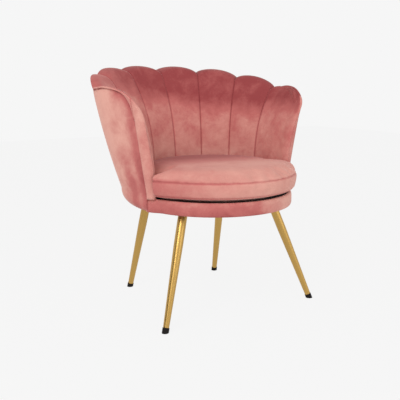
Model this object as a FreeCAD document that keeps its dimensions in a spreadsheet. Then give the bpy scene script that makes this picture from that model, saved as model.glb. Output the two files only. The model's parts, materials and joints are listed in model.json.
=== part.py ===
"""Scallop back chair: a round tub chair with eight padded petals and four splayed metal legs.

Millimetres. The chair faces -Y, +X is its left-hand side seen from behind, +Z is up and z = 0 is the floor.
The tub is worked out about its own upright axis: angle 0 points to the rear, positive angles go to +X.
The origin of the model is on the floor under the middle of the chair's outline.
"""
import FreeCAD, Part
import math
import os
from FreeCAD import Placement, Rotation, Vector

os.makedirs("parts", exist_ok=True)
doc = FreeCAD.newDocument("ScallopBackChair")

SIZES = [
    ("back_height", 758, "top edge at the rear seam, above the floor"),
    ("rear_flare", 14, "how much further out the outer skin stands at the top of the back"),
    ("rear_flare_end", 70, "angle where that extra flare has died out"),
    ("rim_fall", 97, "how far the top edge would fall from the rear to the side"),
    ("rim_fall_power", 1.3, "keeps the top edge level for longer round the rear"),
    ("level_angle", 76.5, "angle past which the top edge stays level"),
    ("petal_angle", 23.6, "angle between petal seams"),
    ("lobe_rise", 12.5, "height of each scallop above its seams"),
    ("lobe_power", 0.55, "fullness of the scallops and the petals, 0.5 is an ellipse"),
    ("rim_lean", 4, "how far the petal roll stands out over the outer cover"),
    ("summit_share", 0.8, "highest line of the roll, as a share of its depth from the inside"),
    ("petal_crown", 14, "how far each petal bulges into the seat"),
    ("wall_radius", 250, "inner wall at the petal seams, near the seat"),
    ("rim_inner_radius", 335, "inner wall at the petal seams, just under the rim"),
    ("arm_wall_narrowing", 15, "how far that radius draws in at the arm fronts"),
    ("rim_inner_drop", 14, "inner start of the rim roll, below the top edge"),
    ("rim_wrap", 7, "outer seam of the rim roll, below the top edge"),
    ("flare_height", 430, "height where the inner wall starts to flare"),
    ("shell_depth_at_foot", 43, "from the inner wall to the outer skin above its bottom corner"),
    ("skin_foot_height", 386, "height of that radius"),
    ("shell_depth_at_top", 46.5, "from the inner wall to the outer skin near the top"),
    ("skin_top_drop", 22, "height of that depth, below the top edge at the rear seam"),
    ("skin_belly", 7.5, "outward bow of the outer skin between them"),
    ("arm_narrowing", 50, "how far the outer skin draws in at the arm fronts"),
    ("arm_narrowing_low", 22, "the same just above the bottom corner"),
    ("narrowing_angle", 68, "angle where the arms begin to draw in"),
    ("welt_angle", 100.5, "angle where the outer cover ends at the arm fronts"),
    ("arm_angle", 106, "angle of the arm fronts"),
    ("corner_angle", 77, "angle where the front petal starts to round down"),
    ("cover_corner_angle", 84, "angle where the outer cover starts to round down"),
    ("corner_height", 600, "height where its rounded corner ends"),
    ("corner_power", 2.2, "fullness of that corner, 2 is an ellipse"),
    ("cover_corner_height", 600, "height where the cover's rounded corner ends at the arm front"),
    ("foam_at_seam", 5, "petal padding behind each seam"),
    ("inner_panel_thickness", 3, "bent fibreboard behind the petals"),
    ("outer_panel_thickness", 3, "bent fibreboard under the outer cover"),
    ("cover_thickness", 6, "outer velvet with its wadding"),
    ("cover_corner_radius", 52, "bottom corner of the outer cover at the rear"),
    ("cover_corner_front", 22, "the same at the arm fronts"),
    ("cover_underturn", 72, "how far round the bottom corner the cover is turned, degrees"),
    ("shelf_drop", 33, "underside of the petal roll, below the seam line"),
    ("arm_shelf_height", 560, "the same at the arm fronts, above the floor"),
    ("arm_shelf_angle", 74, "angle where the underside begins to fall to that height"),
    ("rail_height", 20, "bent top rail"),
    ("rail_angle", 72, "half the angle that the top rail spans"),
    ("rib_width", 15, "plywood ribs"),
    ("rib_spacing", 26, "angle between ribs"),
    ("rib_toe", 5, "depth of a rib where it stands against the board's edge"),
    ("frame_bottom", 347, "lower edge of the inner panel and the ribs"),
    ("soft_gap", 0.3, "clearance round every padded piece"),
    ("arm_gap", 1.1, "clearance between the front petals' padding and the frame inside it"),
    ("base_forward", 12, "centre of the round base, forward of the tub's axis"),
    ("base_radius", 247.5, "outside of the velvet base band"),
    ("band_padding", 15.2, "thickness of the base band"),
    ("band_corner_radius", 12, "rounded edges of the base band"),
    ("base_bottom", 330, "underside of the base band"),
    ("base_band_height", 41.7, "height of the base band"),
    ("band_half_angle", 81.8, "half the angle that the band spans round the front"),
    ("board_bottom", 340, "underside of the plywood seat board"),
    ("board_thickness", 18, "plywood seat board"),
    ("lining_thickness", 0.8, "black lining cloth, above and below"),
    ("lining_inset", 4, "edge of the linings, inside the board's edge"),
    ("deck_pad_thickness", 9.4, "thin foam on the seat board"),
    ("cushion_radius", 264, "widest part of the seat cushion in front"),
    ("cushion_rear_radius", 235, "seat cushion where it sits between the petals"),
    ("cushion_forward", 13, "centre of the cushion, forward of the tub's axis"),
    ("cushion_shoulder", 75, "the cushion widens in front of this distance"),
    ("cushion_seam_height", 430, "top seam of the cushion"),
    ("cushion_low_seam_height", 386, "bottom seam of the cushion"),
    ("cushion_top_height", 461, "middle of the crowned top"),
    ("cushion_flat_radius", 205, "flat underside of the cushion"),
    ("cushion_side_bulge", 3, "belly of the cushion's side between its seams"),
    ("seam_notch", 2.5, "depth of the cushion's seams"),
    ("cushion_edge_radius", 9, "sets how far in the rounded edge of the top runs"),
    ("leg_top_diameter", 28, "tapered steel leg, upper part"),
    ("leg_foot_diameter", 17.6, "tapered steel leg, at its foot"),
    ("leg_straight_share", 0.3, "share of the leg that is not tapered"),
    ("leg_wall", 1.5, "wall of the leg's tube"),
    ("front_foot_across", 275, "front feet, from the middle"),
    ("front_foot_forward", 172, "front feet, forward of the tub's axis"),
    ("front_leg_across", 166, "front legs at the underside of the base"),
    ("front_leg_forward", 94, "front legs at the underside of the base"),
    ("back_foot_across", 178, "back feet, from the middle"),
    ("back_foot_rearward", 262, "back feet, behind the tub's axis"),
    ("back_leg_across", 149, "back legs at the underside of the base"),
    ("back_leg_rearward", 171, "back legs at the underside of the base"),
    ("plate_side", 52, "square mounting plate of each leg"),
    ("plate_thickness", 3, "mounting plate"),
    ("plate_corner", 6, "its rounded corners"),
    ("screw_offset", 18, "screws, from the middle of the plate"),
    ("screw_diameter", 5, "machine screws of the legs"),
    ("screw_head_diameter", 9.6, "their heads"),
    ("screw_head_height", 3, "their heads"),
    ("screw_length", 18, "shank, from the underside of the plate"),
    ("nut_barrel_diameter", 7, "barrel of each tee nut"),
    ("nut_flange_diameter", 16, "flange of each tee nut"),
    ("nut_flange_height", 1.4, "flange of each tee nut"),
    ("nut_barrel_length", 10, "barrel of each tee nut"),
    ("hole_clearance", 0.2, "round a screw or nut, on the diameter"),
    ("cap_height", 14, "black glide cap on each foot"),
    ("cap_wall", 1.4, "wall of the cap"),
    ("cap_floor", 6, "tube end above the floor, along the leg"),
    ("wood_screw_diameter", 4, "screws through the ribs into the board's edge"),
    ("wood_screw_head", 7, "diameter of their heads"),
    ("wood_screw_head_height", 1.5, "their heads"),
    ("wood_screw_height", 352, "their height above the floor"),
    ("wood_screw_grip", 22, "how deep they go into the board"),
]

sheet = doc.addObject("Spreadsheet::Sheet", "Sizes")
for row, (alias, value, note) in enumerate(SIZES, 1):
    sheet.set(f"A{row}", alias)
    sheet.set(f"B{row}", str(value))
    sheet.set(f"C{row}", note)
    sheet.setAlias(f"B{row}", alias)
doc.recompute()


class Size:
    """The sheet's values by name."""


for alias, value, note in SIZES:
    setattr(Size, alias, float(sheet.get(alias)))

S = Size
board_top = S.board_bottom + S.board_thickness
base_top = S.base_bottom + S.base_band_height
board_radius = S.base_radius - S.band_padding - S.soft_gap
skin_foot_radius = S.wall_radius + S.shell_depth_at_foot
skin_top_radius = S.rim_inner_radius + S.shell_depth_at_top
skin_top_height = S.back_height - S.skin_top_drop
rim_edge_radius = S.wall_radius + S.foam_at_seam - S.soft_gap
plate_bottom = S.board_bottom - S.lining_thickness - S.plate_thickness


def ease(x):
    """A smooth step from 0 to 1."""
    x = min(max(x, 0.0), 1.0)
    return x * x * (3 - 2 * x)


def polar(radius, height, angle):
    """A point of the tub: angle 0 is the rear, 90 is +X."""
    turn = math.radians(angle)
    return Vector(radius * math.sin(turn), radius * math.cos(turn), height)


def drawn_in(angle):
    """0 up to the arms and 1 at their fronts."""
    return ease((abs(angle) - S.narrowing_angle) / (S.welt_angle - S.narrowing_angle))


def seam_line(angle):
    """Height of the top edge at the seams: a plane that slopes to the front, level past the arms."""
    turn = math.radians(min(abs(angle), S.level_angle))
    return S.back_height - S.rim_fall * (1 - math.cos(turn)) ** S.rim_fall_power


def flare_radius(angle):
    """Radius of the arc that takes the inner wall from upright out to the rim."""
    rise = seam_line(angle) - S.rim_inner_drop - S.flare_height
    run = S.rim_inner_radius - S.arm_wall_narrowing * drawn_in(angle) - S.wall_radius
    return (run * run + rise * rise) / (2 * run)


def wall(height, angle, behind=0.0):
    """Inner wall at a seam, or a parallel surface behind it."""
    if height <= S.flare_height:
        return S.wall_radius + behind
    flare = flare_radius(angle)
    up = height - S.flare_height
    return S.wall_radius + flare - math.sqrt((flare - behind) ** 2 - up * up)


def skin(height, angle, under=0.0):
    """Outer velvet surface, or a parallel surface under it."""
    share = max(height - S.skin_foot_height, 0) / (skin_top_height - S.skin_foot_height)
    radius = skin_foot_radius + (skin_top_radius - skin_foot_radius) * share
    radius += 4 * S.skin_belly * share * (1 - share)
    radius += S.rear_flare * (1 - ease(abs(angle) / S.rear_flare_end)) * share * share
    low = S.arm_narrowing_low
    full = low + (S.arm_narrowing - low) * share * (2 - share)
    return radius - full * drawn_in(angle) - under


def corner_radius(angle):
    """Bottom corner of the outer cover: it tightens towards the arm fronts."""
    return S.cover_corner_radius + (S.cover_corner_front - S.cover_corner_radius) * drawn_in(angle)


def crown(angle):
    """0 at a petal's seams and 1 at its middle; the front petals stay full to the arm front."""
    place = abs(angle) / S.petal_angle
    share = place - math.floor(place)
    if place >= 3:
        share = min(place - 3, 0.5)
    return (4 * share * (1 - share)) ** S.lobe_power if 0 < share < 1 else 0.0


def top_edge(angle):
    """Height of the scalloped top edge."""
    level = seam_line(angle) + S.lobe_rise * crown(angle)
    if abs(angle) > 3.5 * S.petal_angle:
        level = seam_line(angle) + S.lobe_rise
    if abs(angle) <= S.corner_angle:
        return level
    share = (abs(angle) - S.corner_angle) / (S.arm_angle - S.corner_angle)
    share = min(share, 0.999)
    height = (1 - share ** S.corner_power) ** (1 / S.corner_power)
    return S.corner_height + (level - S.corner_height) * height


def bullnose(angle):
    """Share of the full thickness left at the rounded arm front."""
    if abs(angle) <= S.welt_angle:
        return 1.0
    share = (abs(angle) - S.welt_angle) / (S.arm_angle - S.welt_angle)
    return math.sqrt(max(1 - share * share, 0.02))


def rim(angle):
    """Inner start, top and outer end of the rim roll, as (radius, height) points."""
    full = bullnose(angle)
    top = top_edge(angle)
    low_in = top - S.rim_inner_drop * full
    low_out = top - S.rim_wrap * full
    inner = wall(low_in, angle) - 0.5 * S.petal_crown * crown(angle)
    outer = skin(low_out, angle) + S.rim_lean * crown(angle)
    middle = inner + S.summit_share * (outer - inner)
    return (inner, low_in), (middle, top), (outer, low_out)


def cover_top(angle):
    """Upper edge of the outer cover: under the rim roll, and round the corner at the arm fronts."""
    if abs(angle) <= S.cover_corner_angle:
        return rim(angle)[2][1]
    level = rim(S.cover_corner_angle)[2][1]
    share = min((abs(angle) - S.cover_corner_angle) / (S.welt_angle - S.cover_corner_angle), 0.9999)
    height = (1 - share ** S.corner_power) ** (1 / S.corner_power)
    return S.cover_corner_height + (level - S.cover_corner_height) * height


def shelf(angle):
    """Height of the petal roll's underside, where the panels and the rail end."""
    level = seam_line(angle) - S.shelf_drop
    fall = ease((abs(angle) - S.arm_shelf_angle) / (S.welt_angle - S.arm_shelf_angle))
    return level + (S.arm_shelf_height - level) * fall


def behind_cover(angle, low, high, gap):
    """Upper end, middle and lower end of the arc just inside the outer cover."""
    middle = (low + high) / 2
    under = S.cover_thickness + gap
    return [(skin(height, angle, under), height) for height in (high, middle, low)]


def over_top(summit, side):
    """Point halfway round the roll from its summit to its side, as on a quarter of an ellipse."""
    half = math.cos(math.radians(45))
    return (summit[0] + half * (side[0] - summit[0]), side[1] + half * (summit[1] - side[1]))


def outline(angle, steps):
    """A closed wire in the upright plane at an angle. A step is a point, or a (middle, end) pair for an arc."""
    edges = []
    start = polar(*steps[0], angle)
    here = start
    for step in steps[1:] + [steps[0]]:
        if isinstance(step[0], tuple):
            middle = polar(*step[0], angle)
            end = polar(*step[1], angle)
            edges.append(Part.Arc(here, middle, end).toShape())
        else:
            end = polar(*step, angle)
            edges.append(Part.LineSegment(here, end).toShape())
        here = end
    return Part.Wire(edges)


def loft(angles, section, ruled=False):
    """One solid through the sections at the given angles."""
    wires = [outline(angle, section(angle)) for angle in angles]
    return Part.makeLoft(wires, True, ruled)


FINISHED = []


def keep(thing, label):
    """Name a sub-part and set it on the tub's axis."""
    thing.Label = label
    FINISHED.append(thing)
    return thing


def piece(label, shape):
    """A sub-part whose shape is worked out here."""
    thing = doc.addObject("Part::Feature", label)
    thing.Shape = shape
    return keep(thing, label)


# Petals

def petal_section(angle):
    """Inner face, rim roll, wrap over the cover's top and the back that lies on the inner panel."""
    inner, summit, outer = rim(angle)
    face = S.wall_radius - S.petal_crown * crown(angle)
    half = (S.flare_height + inner[1]) / 2
    bulge = S.petal_crown * crown(angle)
    ledge = shelf(angle)
    gap = 2 * S.soft_gap
    upper, middle, lower = behind_cover(angle, ledge, outer[1], gap)
    behind = S.foam_at_seam - S.soft_gap
    back_half = (S.flare_height + ledge) / 2
    foot = board_top + S.soft_gap
    return [
        (face, foot),
        (face, S.flare_height),
        ((wall(half, angle) - bulge, half), inner),
        (over_top(summit, inner), summit),
        (over_top(summit, outer), outer),
        upper,
        (middle, lower),
        (wall(ledge, angle, behind), ledge),
        ((wall(back_half, angle, behind), back_half), (wall(S.flare_height, angle, behind), S.flare_height)),
        (wall(S.flare_height, angle, behind), foot),
    ]


def arm_section(angle):
    """The whole arm, from the inner face over the rim to the outer skin, thinned at the bullnose."""
    inner, summit, outer = rim(angle)
    full = bullnose(angle)
    foot = base_top + S.soft_gap

    def thin(radius, height):
        middle = (wall(height, angle) - S.petal_crown * crown(angle) + skin(height, angle)) / 2
        return (middle + full * (radius - middle), height)

    face = S.wall_radius - S.petal_crown * crown(angle)
    half = (S.flare_height + inner[1]) / 2
    belly = (foot + outer[1]) / 2
    start = thin(*inner)
    end = thin(*outer)
    top = (start[0] + S.summit_share * (end[0] - start[0]), summit[1])
    return [
        thin(face, foot),
        thin(face, S.flare_height),
        (thin(wall(half, angle) - S.petal_crown * crown(angle), half), start),
        (over_top(top, start), top),
        (over_top(top, end), end),
        (thin(skin(belly, angle), belly), thin(skin(foot, angle), foot)),
    ]


def arm_core_section(angle):
    """The room behind the front petal for the panels, the ribs and the cover."""
    high = cover_top(angle) - S.soft_gap / 2
    ledge = shelf(angle) + S.arm_gap
    upper, middle, lower = behind_cover(angle, ledge, high, S.arm_gap)
    behind = S.foam_at_seam - S.arm_gap
    back_half = (S.flare_height + ledge) / 2
    beyond = skin_top_radius + S.foam_at_seam + S.rim_lean + S.petal_crown
    return [
        (wall(S.flare_height, angle, behind), S.base_bottom),
        (wall(S.flare_height, angle, behind), S.flare_height),
        ((wall(back_half, angle, behind), back_half), (wall(ledge, angle, behind), ledge)),
        lower,
        (middle, upper),
        (beyond, high),
        (beyond, S.base_bottom),
    ]


seam_turn = math.degrees(S.soft_gap / 2 / S.rim_inner_radius)
PETAL_SHARES = [0, 0.06, 0.16, 0.3, 0.42, 0.58, 0.7, 0.84, 0.94, 1]
ARM_SHARES = [0, 0.07, 0.2, 0.4, 0.6, 0.8, 1]
NOSE_SHARES = [0, 0.3, 0.55, 0.75, 0.9]
CORE_SHARES = [0, 0.1, 0.22, 0.36, 0.52, 0.68, 0.82, 0.93, 1]
COVER_SHARES = CORE_SHARES[:-1] + [0.995]


def between(first, last, shares):
    """Angles at the given shares of the way from first to last."""
    return [first + (last - first) * share for share in shares]


def mirrored(shape):
    """The same piece on the other side of the chair."""
    return shape.mirror(Vector(0, 0, 0), Vector(1, 0, 0))


arm_start = 3 * S.petal_angle
arm_body = loft(between(arm_start + seam_turn, S.welt_angle, ARM_SHARES), arm_section)
arm_nose = loft(between(S.welt_angle, S.arm_angle, NOSE_SHARES), arm_section)
arm_core = loft(between(arm_start, S.welt_angle, CORE_SHARES), arm_core_section)
arm_shell = arm_body.cut([arm_core], 0.001)
if arm_shell.Volume > 0.7 * arm_body.Volume:
    raise RuntimeError("the front petal was not hollowed out")
front_petal = arm_shell.fuse(arm_nose).removeSplitter()
for number, name in enumerate(["centre", "rear", "side"]):
    first = number * S.petal_angle + seam_turn
    last = (number + 1) * S.petal_angle - seam_turn
    petal = loft(between(first, last, PETAL_SHARES), petal_section)
    piece(f"petal_{name}_left", petal)
    piece(f"petal_{name}_right", mirrored(petal))
piece("petal_front_left", front_petal)
piece("petal_front_right", mirrored(front_petal))


# Outer cover: velvet with wadding, one segment under each petal, joined into one piece

def cover_section(angle):
    high = cover_top(angle) - S.soft_gap
    round_radius = corner_radius(angle)
    start = S.base_bottom + round_radius
    low = S.skin_foot_height
    foot = skin(low, angle)
    half = (low + high) / 2
    turn = math.radians(S.cover_underturn)
    inner_round = round_radius - S.cover_thickness

    def bend(radius, share):
        swing = turn * share
        return (foot - round_radius + radius * math.cos(swing), start - radius * math.sin(swing))

    thick = S.cover_thickness
    return [
        (skin(high, angle), high),
        ((skin(half, angle), half), (foot, low)),
        (foot, start),
        (bend(round_radius, 0.5), bend(round_radius, 1)),
        bend(inner_round, 1),
        (bend(inner_round, 0.5), (foot - thick, start)),
        (foot - thick, low),
        ((skin(half, angle, thick), half), (skin(high, angle, thick), high)),
    ]


cover_half = []
for number in range(3):
    span = between(number * S.petal_angle, (number + 1) * S.petal_angle, PETAL_SHARES)
    cover_half.append(loft(span, cover_section))
arm_cover_angles = between(arm_start, S.welt_angle, COVER_SHARES)
cover_half.append(loft(arm_cover_angles, cover_section))
cover_parts = cover_half + [mirrored(shape) for shape in cover_half]
piece("outer_cover", cover_parts[0].fuse(cover_parts[1:]).removeSplitter())


# Frame of the back: two bent panels, a top rail and upright ribs

panel_gap = S.foam_at_seam
inner_panel_back = panel_gap + S.inner_panel_thickness
outer_panel_face = S.cover_thickness + S.soft_gap
outer_panel_back = outer_panel_face + S.outer_panel_thickness
FRAME_SHARES = [0, 0.14, 0.28, 0.42, 0.54, 0.64, 0.72, 0.79, 0.85, 0.9, 0.95, 1]
panel_reach = S.welt_angle - 1.5


def inner_panel_section(angle):
    top = shelf(angle) - S.soft_gap
    half = (S.flare_height + top) / 2
    return [
        (wall(S.flare_height, angle, panel_gap), S.frame_bottom),
        (wall(S.flare_height, angle, panel_gap), S.flare_height),
        ((wall(half, angle, panel_gap), half), (wall(top, angle, panel_gap), top)),
        (wall(top, angle, inner_panel_back), top),
        ((wall(half, angle, inner_panel_back), half),
         (wall(S.flare_height, angle, inner_panel_back), S.flare_height)),
        (wall(S.flare_height, angle, inner_panel_back), S.frame_bottom),
    ]


def outer_panel_section(angle):
    top = shelf(angle) - S.soft_gap
    low = S.skin_foot_height
    half = (low + top) / 2
    return [
        (skin(low, angle, outer_panel_back), low),
        ((skin(half, angle, outer_panel_back), half), (skin(top, angle, outer_panel_back), top)),
        (skin(top, angle, outer_panel_face), top),
        ((skin(half, angle, outer_panel_face), half), (skin(low, angle, outer_panel_face), low)),
    ]


def rail_section(angle):
    top = shelf(angle) - S.soft_gap
    low = top - S.rail_height
    return [
        (wall(low, angle, inner_panel_back) + S.soft_gap, low),
        (wall(top, angle, inner_panel_back) + S.soft_gap, top),
        (skin(top, angle, outer_panel_back) - S.soft_gap, top),
        (skin(low, angle, outer_panel_back) - S.soft_gap, low),
    ]


def rib_section(angle):
    """A rib fills the space between the panels and stands against the seat board's edge."""
    top = shelf(angle) - S.soft_gap
    if abs(angle) < S.rail_angle + 2:
        top -= S.rail_height + S.soft_gap
    low = S.skin_foot_height
    foot = S.frame_bottom
    half = (S.flare_height + top) / 2
    far_half = (low + top) / 2
    front = inner_panel_back + S.soft_gap
    back = outer_panel_back + S.soft_gap
    toe = wall(foot, angle, front) + S.rib_toe
    return [
        (wall(foot, angle, front), foot),
        (wall(S.flare_height, angle, front), S.flare_height),
        ((wall(half, angle, front), half), (wall(top, angle, front), top)),
        (skin(top, angle, back), top),
        ((skin(far_half, angle, back), far_half), (skin(low, angle, back), low)),
        (toe, board_top),
        (toe, foot),
    ]


def round_the_back(reach):
    """Angles from one arm to the other, closer together where the arms draw in."""
    half = [reach * share for share in FRAME_SHARES]
    return [-angle for angle in reversed(half[1:])] + half


inner_board = piece("inner_panel", loft(round_the_back(panel_reach), inner_panel_section))
piece("outer_panel", loft(round_the_back(panel_reach), outer_panel_section))
piece("top_rail", loft(round_the_back(S.rail_angle), rail_section))
rib_turn = math.degrees(S.rib_width / 2 / S.rim_inner_radius)
rib_angles = [S.rib_spacing * step for step in range(-3, 4)]


def screw_hole(angle, diameter):
    """A radial cylinder at one rib's screw, from inside the board out past the rib."""
    start = polar(rim_edge_radius - S.wood_screw_grip, S.wood_screw_height, angle)
    return Part.makeCylinder(diameter / 2, 3 * S.wood_screw_grip, start, polar(1, 0, angle))


ribs = []
for angle in rib_angles:
    rib = loft([angle - rib_turn, angle + rib_turn], rib_section, ruled=True)
    ribs.append(rib.cut(screw_hole(angle, S.wood_screw_diameter + S.hole_clearance)))
piece("back_ribs", Part.makeCompound(ribs))
hole_tools = [screw_hole(angle, S.wood_screw_diameter + S.hole_clearance) for angle in rib_angles]
inner_board.Shape = inner_board.Shape.cut(Part.makeCompound(hole_tools))


def wood_screw(angle):
    """A flat-headed screw through a rib and the inner panel into the board's edge."""
    outward = polar(1, 0, angle)
    tip = polar(rim_edge_radius - S.wood_screw_grip + S.soft_gap, S.wood_screw_height, angle)
    head_seat = polar(wall(0, angle, inner_panel_back + S.soft_gap) + S.rib_toe, S.wood_screw_height, angle)
    shank = Part.makeCylinder(S.wood_screw_diameter / 2, (head_seat - tip).Length, tip, outward)
    head = Part.makeCylinder(S.wood_screw_head / 2, S.wood_screw_head_height, head_seat, outward)
    return shank.fuse(head).removeSplitter()


piece("rib_screws", Part.makeCompound([wood_screw(angle) for angle in rib_angles]))


# Legs: positions of the feet and of the leg tops, worked out once for the legs, plates and holes

def leg_points(name):
    """Foot on the floor and the axis point at the underside of the base."""
    side = 1 if name.endswith("left") else -1
    if name.startswith("front"):
        foot = Vector(side * S.front_foot_across, -S.front_foot_forward, 0)
        return foot, Vector(side * S.front_leg_across, -S.front_leg_forward, S.base_bottom)
    foot = Vector(side * S.back_foot_across, S.back_foot_rearward, 0)
    return foot, Vector(side * S.back_leg_across, S.back_leg_rearward, S.base_bottom)


LEGS = ["front_left", "front_right", "back_left", "back_right"]


def leg_axis(name):
    foot, top = leg_points(name)
    return (top - foot).normalize()


def plate_middle(name):
    """Where the leg's axis meets the underside of its plate."""
    foot, top = leg_points(name)
    axis = leg_axis(name)
    return foot + axis * (plate_bottom / axis.z)


def plate_turn(name):
    """The plate stands square to the line from the base's centre."""
    middle = plate_middle(name)
    return math.degrees(math.atan2(middle.y + S.base_forward, middle.x))


def screw_points(name):
    """The four screws of a leg, at the underside of its plate."""
    middle = plate_middle(name)
    turn = Rotation(Vector(0, 0, 1), plate_turn(name))
    reach = S.screw_offset
    corners = [(reach, reach), (-reach, reach), (-reach, -reach), (reach, -reach)]
    return [middle + turn.multVec(Vector(x, y, 0)) for x, y in corners]


all_screws = [point for name in LEGS for point in screw_points(name)]


# Seat board and linings: the rear edge is round about the tub's axis, the front about the base's centre

def base_edge(radius, angle):
    """Distance from the tub's axis to a circle about the base's centre."""
    along = S.base_forward * -math.cos(math.radians(angle))
    return along + math.sqrt(along ** 2 - S.base_forward ** 2 + radius ** 2)


def flat_sketch(body, name, height):
    """An empty sketch on the body's own XY plane, raised to a height."""
    sketch = body.newObject("Sketcher::SketchObject", name)
    plane = [item for item in body.Origin.OriginFeatures if item.Role == "XY_Plane"][0]
    sketch.AttachmentSupport = [(plane, "")]
    sketch.MapMode = "FlatFace"
    sketch.AttachmentOffset = Placement(Vector(0, 0, height), Rotation())
    return sketch


def draw_board(sketch, inset):
    """Rear arc, two short steps at the arm fronts and the front arc."""
    rear = rim_edge_radius - inset
    front = board_radius - inset
    corner = polar(rear, 0, S.welt_angle)
    step = polar(base_edge(front, S.welt_angle), 0, S.welt_angle)
    other_corner = Vector(-corner.x, corner.y, 0)
    other_step = Vector(-step.x, step.y, 0)
    nose = Vector(0, -S.base_forward - front, 0)
    sketch.addGeometry(Part.Arc(corner, Vector(0, rear, 0), other_corner), False)
    sketch.addGeometry(Part.LineSegment(other_corner, other_step), False)
    sketch.addGeometry(Part.Arc(other_step, nose, step), False)
    sketch.addGeometry(Part.LineSegment(step, corner), False)


def draw_circles(sketch, points, radius):
    for point in points:
        sketch.addGeometry(Part.Circle(Vector(point.x, point.y, 0), Vector(0, 0, 1), radius), False)


def pad(body, sketch, length):
    """A pad whose length follows the sheet."""
    feature = body.newObject("PartDesign::Pad", sketch.Name + "Pad")
    feature.Profile = sketch
    feature.setExpression("Length", length)
    return feature


def pocket(body, sketch, length):
    """A pocket upwards from its sketch, its depth from the sheet."""
    feature = body.newObject("PartDesign::Pocket", sketch.Name + "Pocket")
    feature.Profile = sketch
    feature.Reversed = True
    feature.setExpression("Length", length)
    return feature


def new_body(label):
    body = doc.addObject("PartDesign::Body", label)
    return keep(body, label)


board = new_body("seat_board")
board_outline = flat_sketch(board, "BoardOutline", S.board_bottom)
draw_board(board_outline, 0)
pad(board, board_outline, "Sizes.board_thickness")
barrel_holes = flat_sketch(board, "BarrelHoles", S.board_bottom)
draw_circles(barrel_holes, all_screws, (S.nut_barrel_diameter + S.hole_clearance) / 2)
pocket(board, barrel_holes, "Sizes.board_thickness")
flange_recess = flat_sketch(board, "FlangeRecess", board_top - S.nut_flange_height)
draw_circles(flange_recess, all_screws, (S.nut_flange_diameter + S.hole_clearance) / 2)
pocket(board, flange_recess, "Sizes.nut_flange_height")
side_holes = doc.addObject("Part::Feature", "SideHoles")
side_holes.Shape = Part.makeCompound(hole_tools)
drilled = doc.addObject("Part::Cut", "DrilledBoard")
drilled.Base = board
drilled.Tool = side_holes
FINISHED.remove(board)
board.Label = "board_before_side_holes"
keep(drilled, "seat_board")

lining = new_body("under_lining")
lining_outline = flat_sketch(lining, "LiningOutline", S.board_bottom - S.lining_thickness)
draw_board(lining_outline, S.lining_inset)
draw_circles(lining_outline, all_screws, (S.screw_diameter + S.hole_clearance) / 2)
pad(lining, lining_outline, "Sizes.lining_thickness")


def disc(label, radius, height, bottom):
    """A round layer about the base's centre."""
    layer = doc.addObject("Part::Cylinder", label)
    layer.setExpression("Radius", radius)
    layer.setExpression("Height", height)
    layer.Placement = Placement(Vector(0, -S.base_forward, bottom), Rotation())
    return keep(layer, label)


deck_bottom = board_top + S.soft_gap
deck_lining_bottom = deck_bottom + S.deck_pad_thickness
deck_top = deck_lining_bottom + S.lining_thickness
inside_band = "Sizes.base_radius - Sizes.band_padding - 2 * Sizes.soft_gap"
disc("deck_pad", inside_band, "Sizes.deck_pad_thickness", deck_bottom)
disc("deck_lining", inside_band, "Sizes.lining_thickness", deck_lining_bottom)


# Base band: padded velvet round the front of the base, a revolved section

band = new_body("base_band")
band_sketch = band.newObject("Sketcher::SketchObject", "BandSection")
upright = [item for item in band.Origin.OriginFeatures if item.Role == "XZ_Plane"][0]
band_sketch.AttachmentSupport = [(upright, "")]
band_sketch.MapMode = "FlatFace"
band_in = S.base_radius - S.band_padding
edge = S.band_corner_radius
slant = edge * math.cos(math.radians(45))
low_middle = Vector(S.base_radius - edge, S.base_bottom + edge, 0)
high_middle = Vector(S.base_radius - edge, base_top - edge, 0)
band_points = [
    Vector(band_in, S.base_bottom, 0),
    Vector(S.base_radius - edge, S.base_bottom, 0),
    Vector(S.base_radius, S.base_bottom + edge, 0),
    Vector(S.base_radius, base_top - edge, 0),
    Vector(S.base_radius - edge, base_top, 0),
    Vector(band_in, base_top, 0),
]
band_sketch.addGeometry(Part.LineSegment(band_points[0], band_points[1]), False)
low_bend = low_middle + Vector(slant, -slant, 0)
band_sketch.addGeometry(Part.Arc(band_points[1], low_bend, band_points[2]), False)
band_sketch.addGeometry(Part.LineSegment(band_points[2], band_points[3]), False)
high_bend = high_middle + Vector(slant, slant, 0)
band_sketch.addGeometry(Part.Arc(band_points[3], high_bend, band_points[4]), False)
band_sketch.addGeometry(Part.LineSegment(band_points[4], band_points[5]), False)
band_sketch.addGeometry(Part.LineSegment(band_points[5], band_points[0]), False)
band_turn = band.newObject("PartDesign::Revolution", "BandTurn")
band_turn.Profile = band_sketch
band_turn.ReferenceAxis = (band_sketch, ["V_Axis"])
band_turn.Midplane = True
band_turn.setExpression("Angle", "2 * Sizes.band_half_angle")
band.Placement = Placement(Vector(0, -S.base_forward, 0), Rotation(Vector(0, 0, 1), -90))


# Seat cushion: crowned top, belly between two sewn seams, sides drawn in under it

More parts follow.
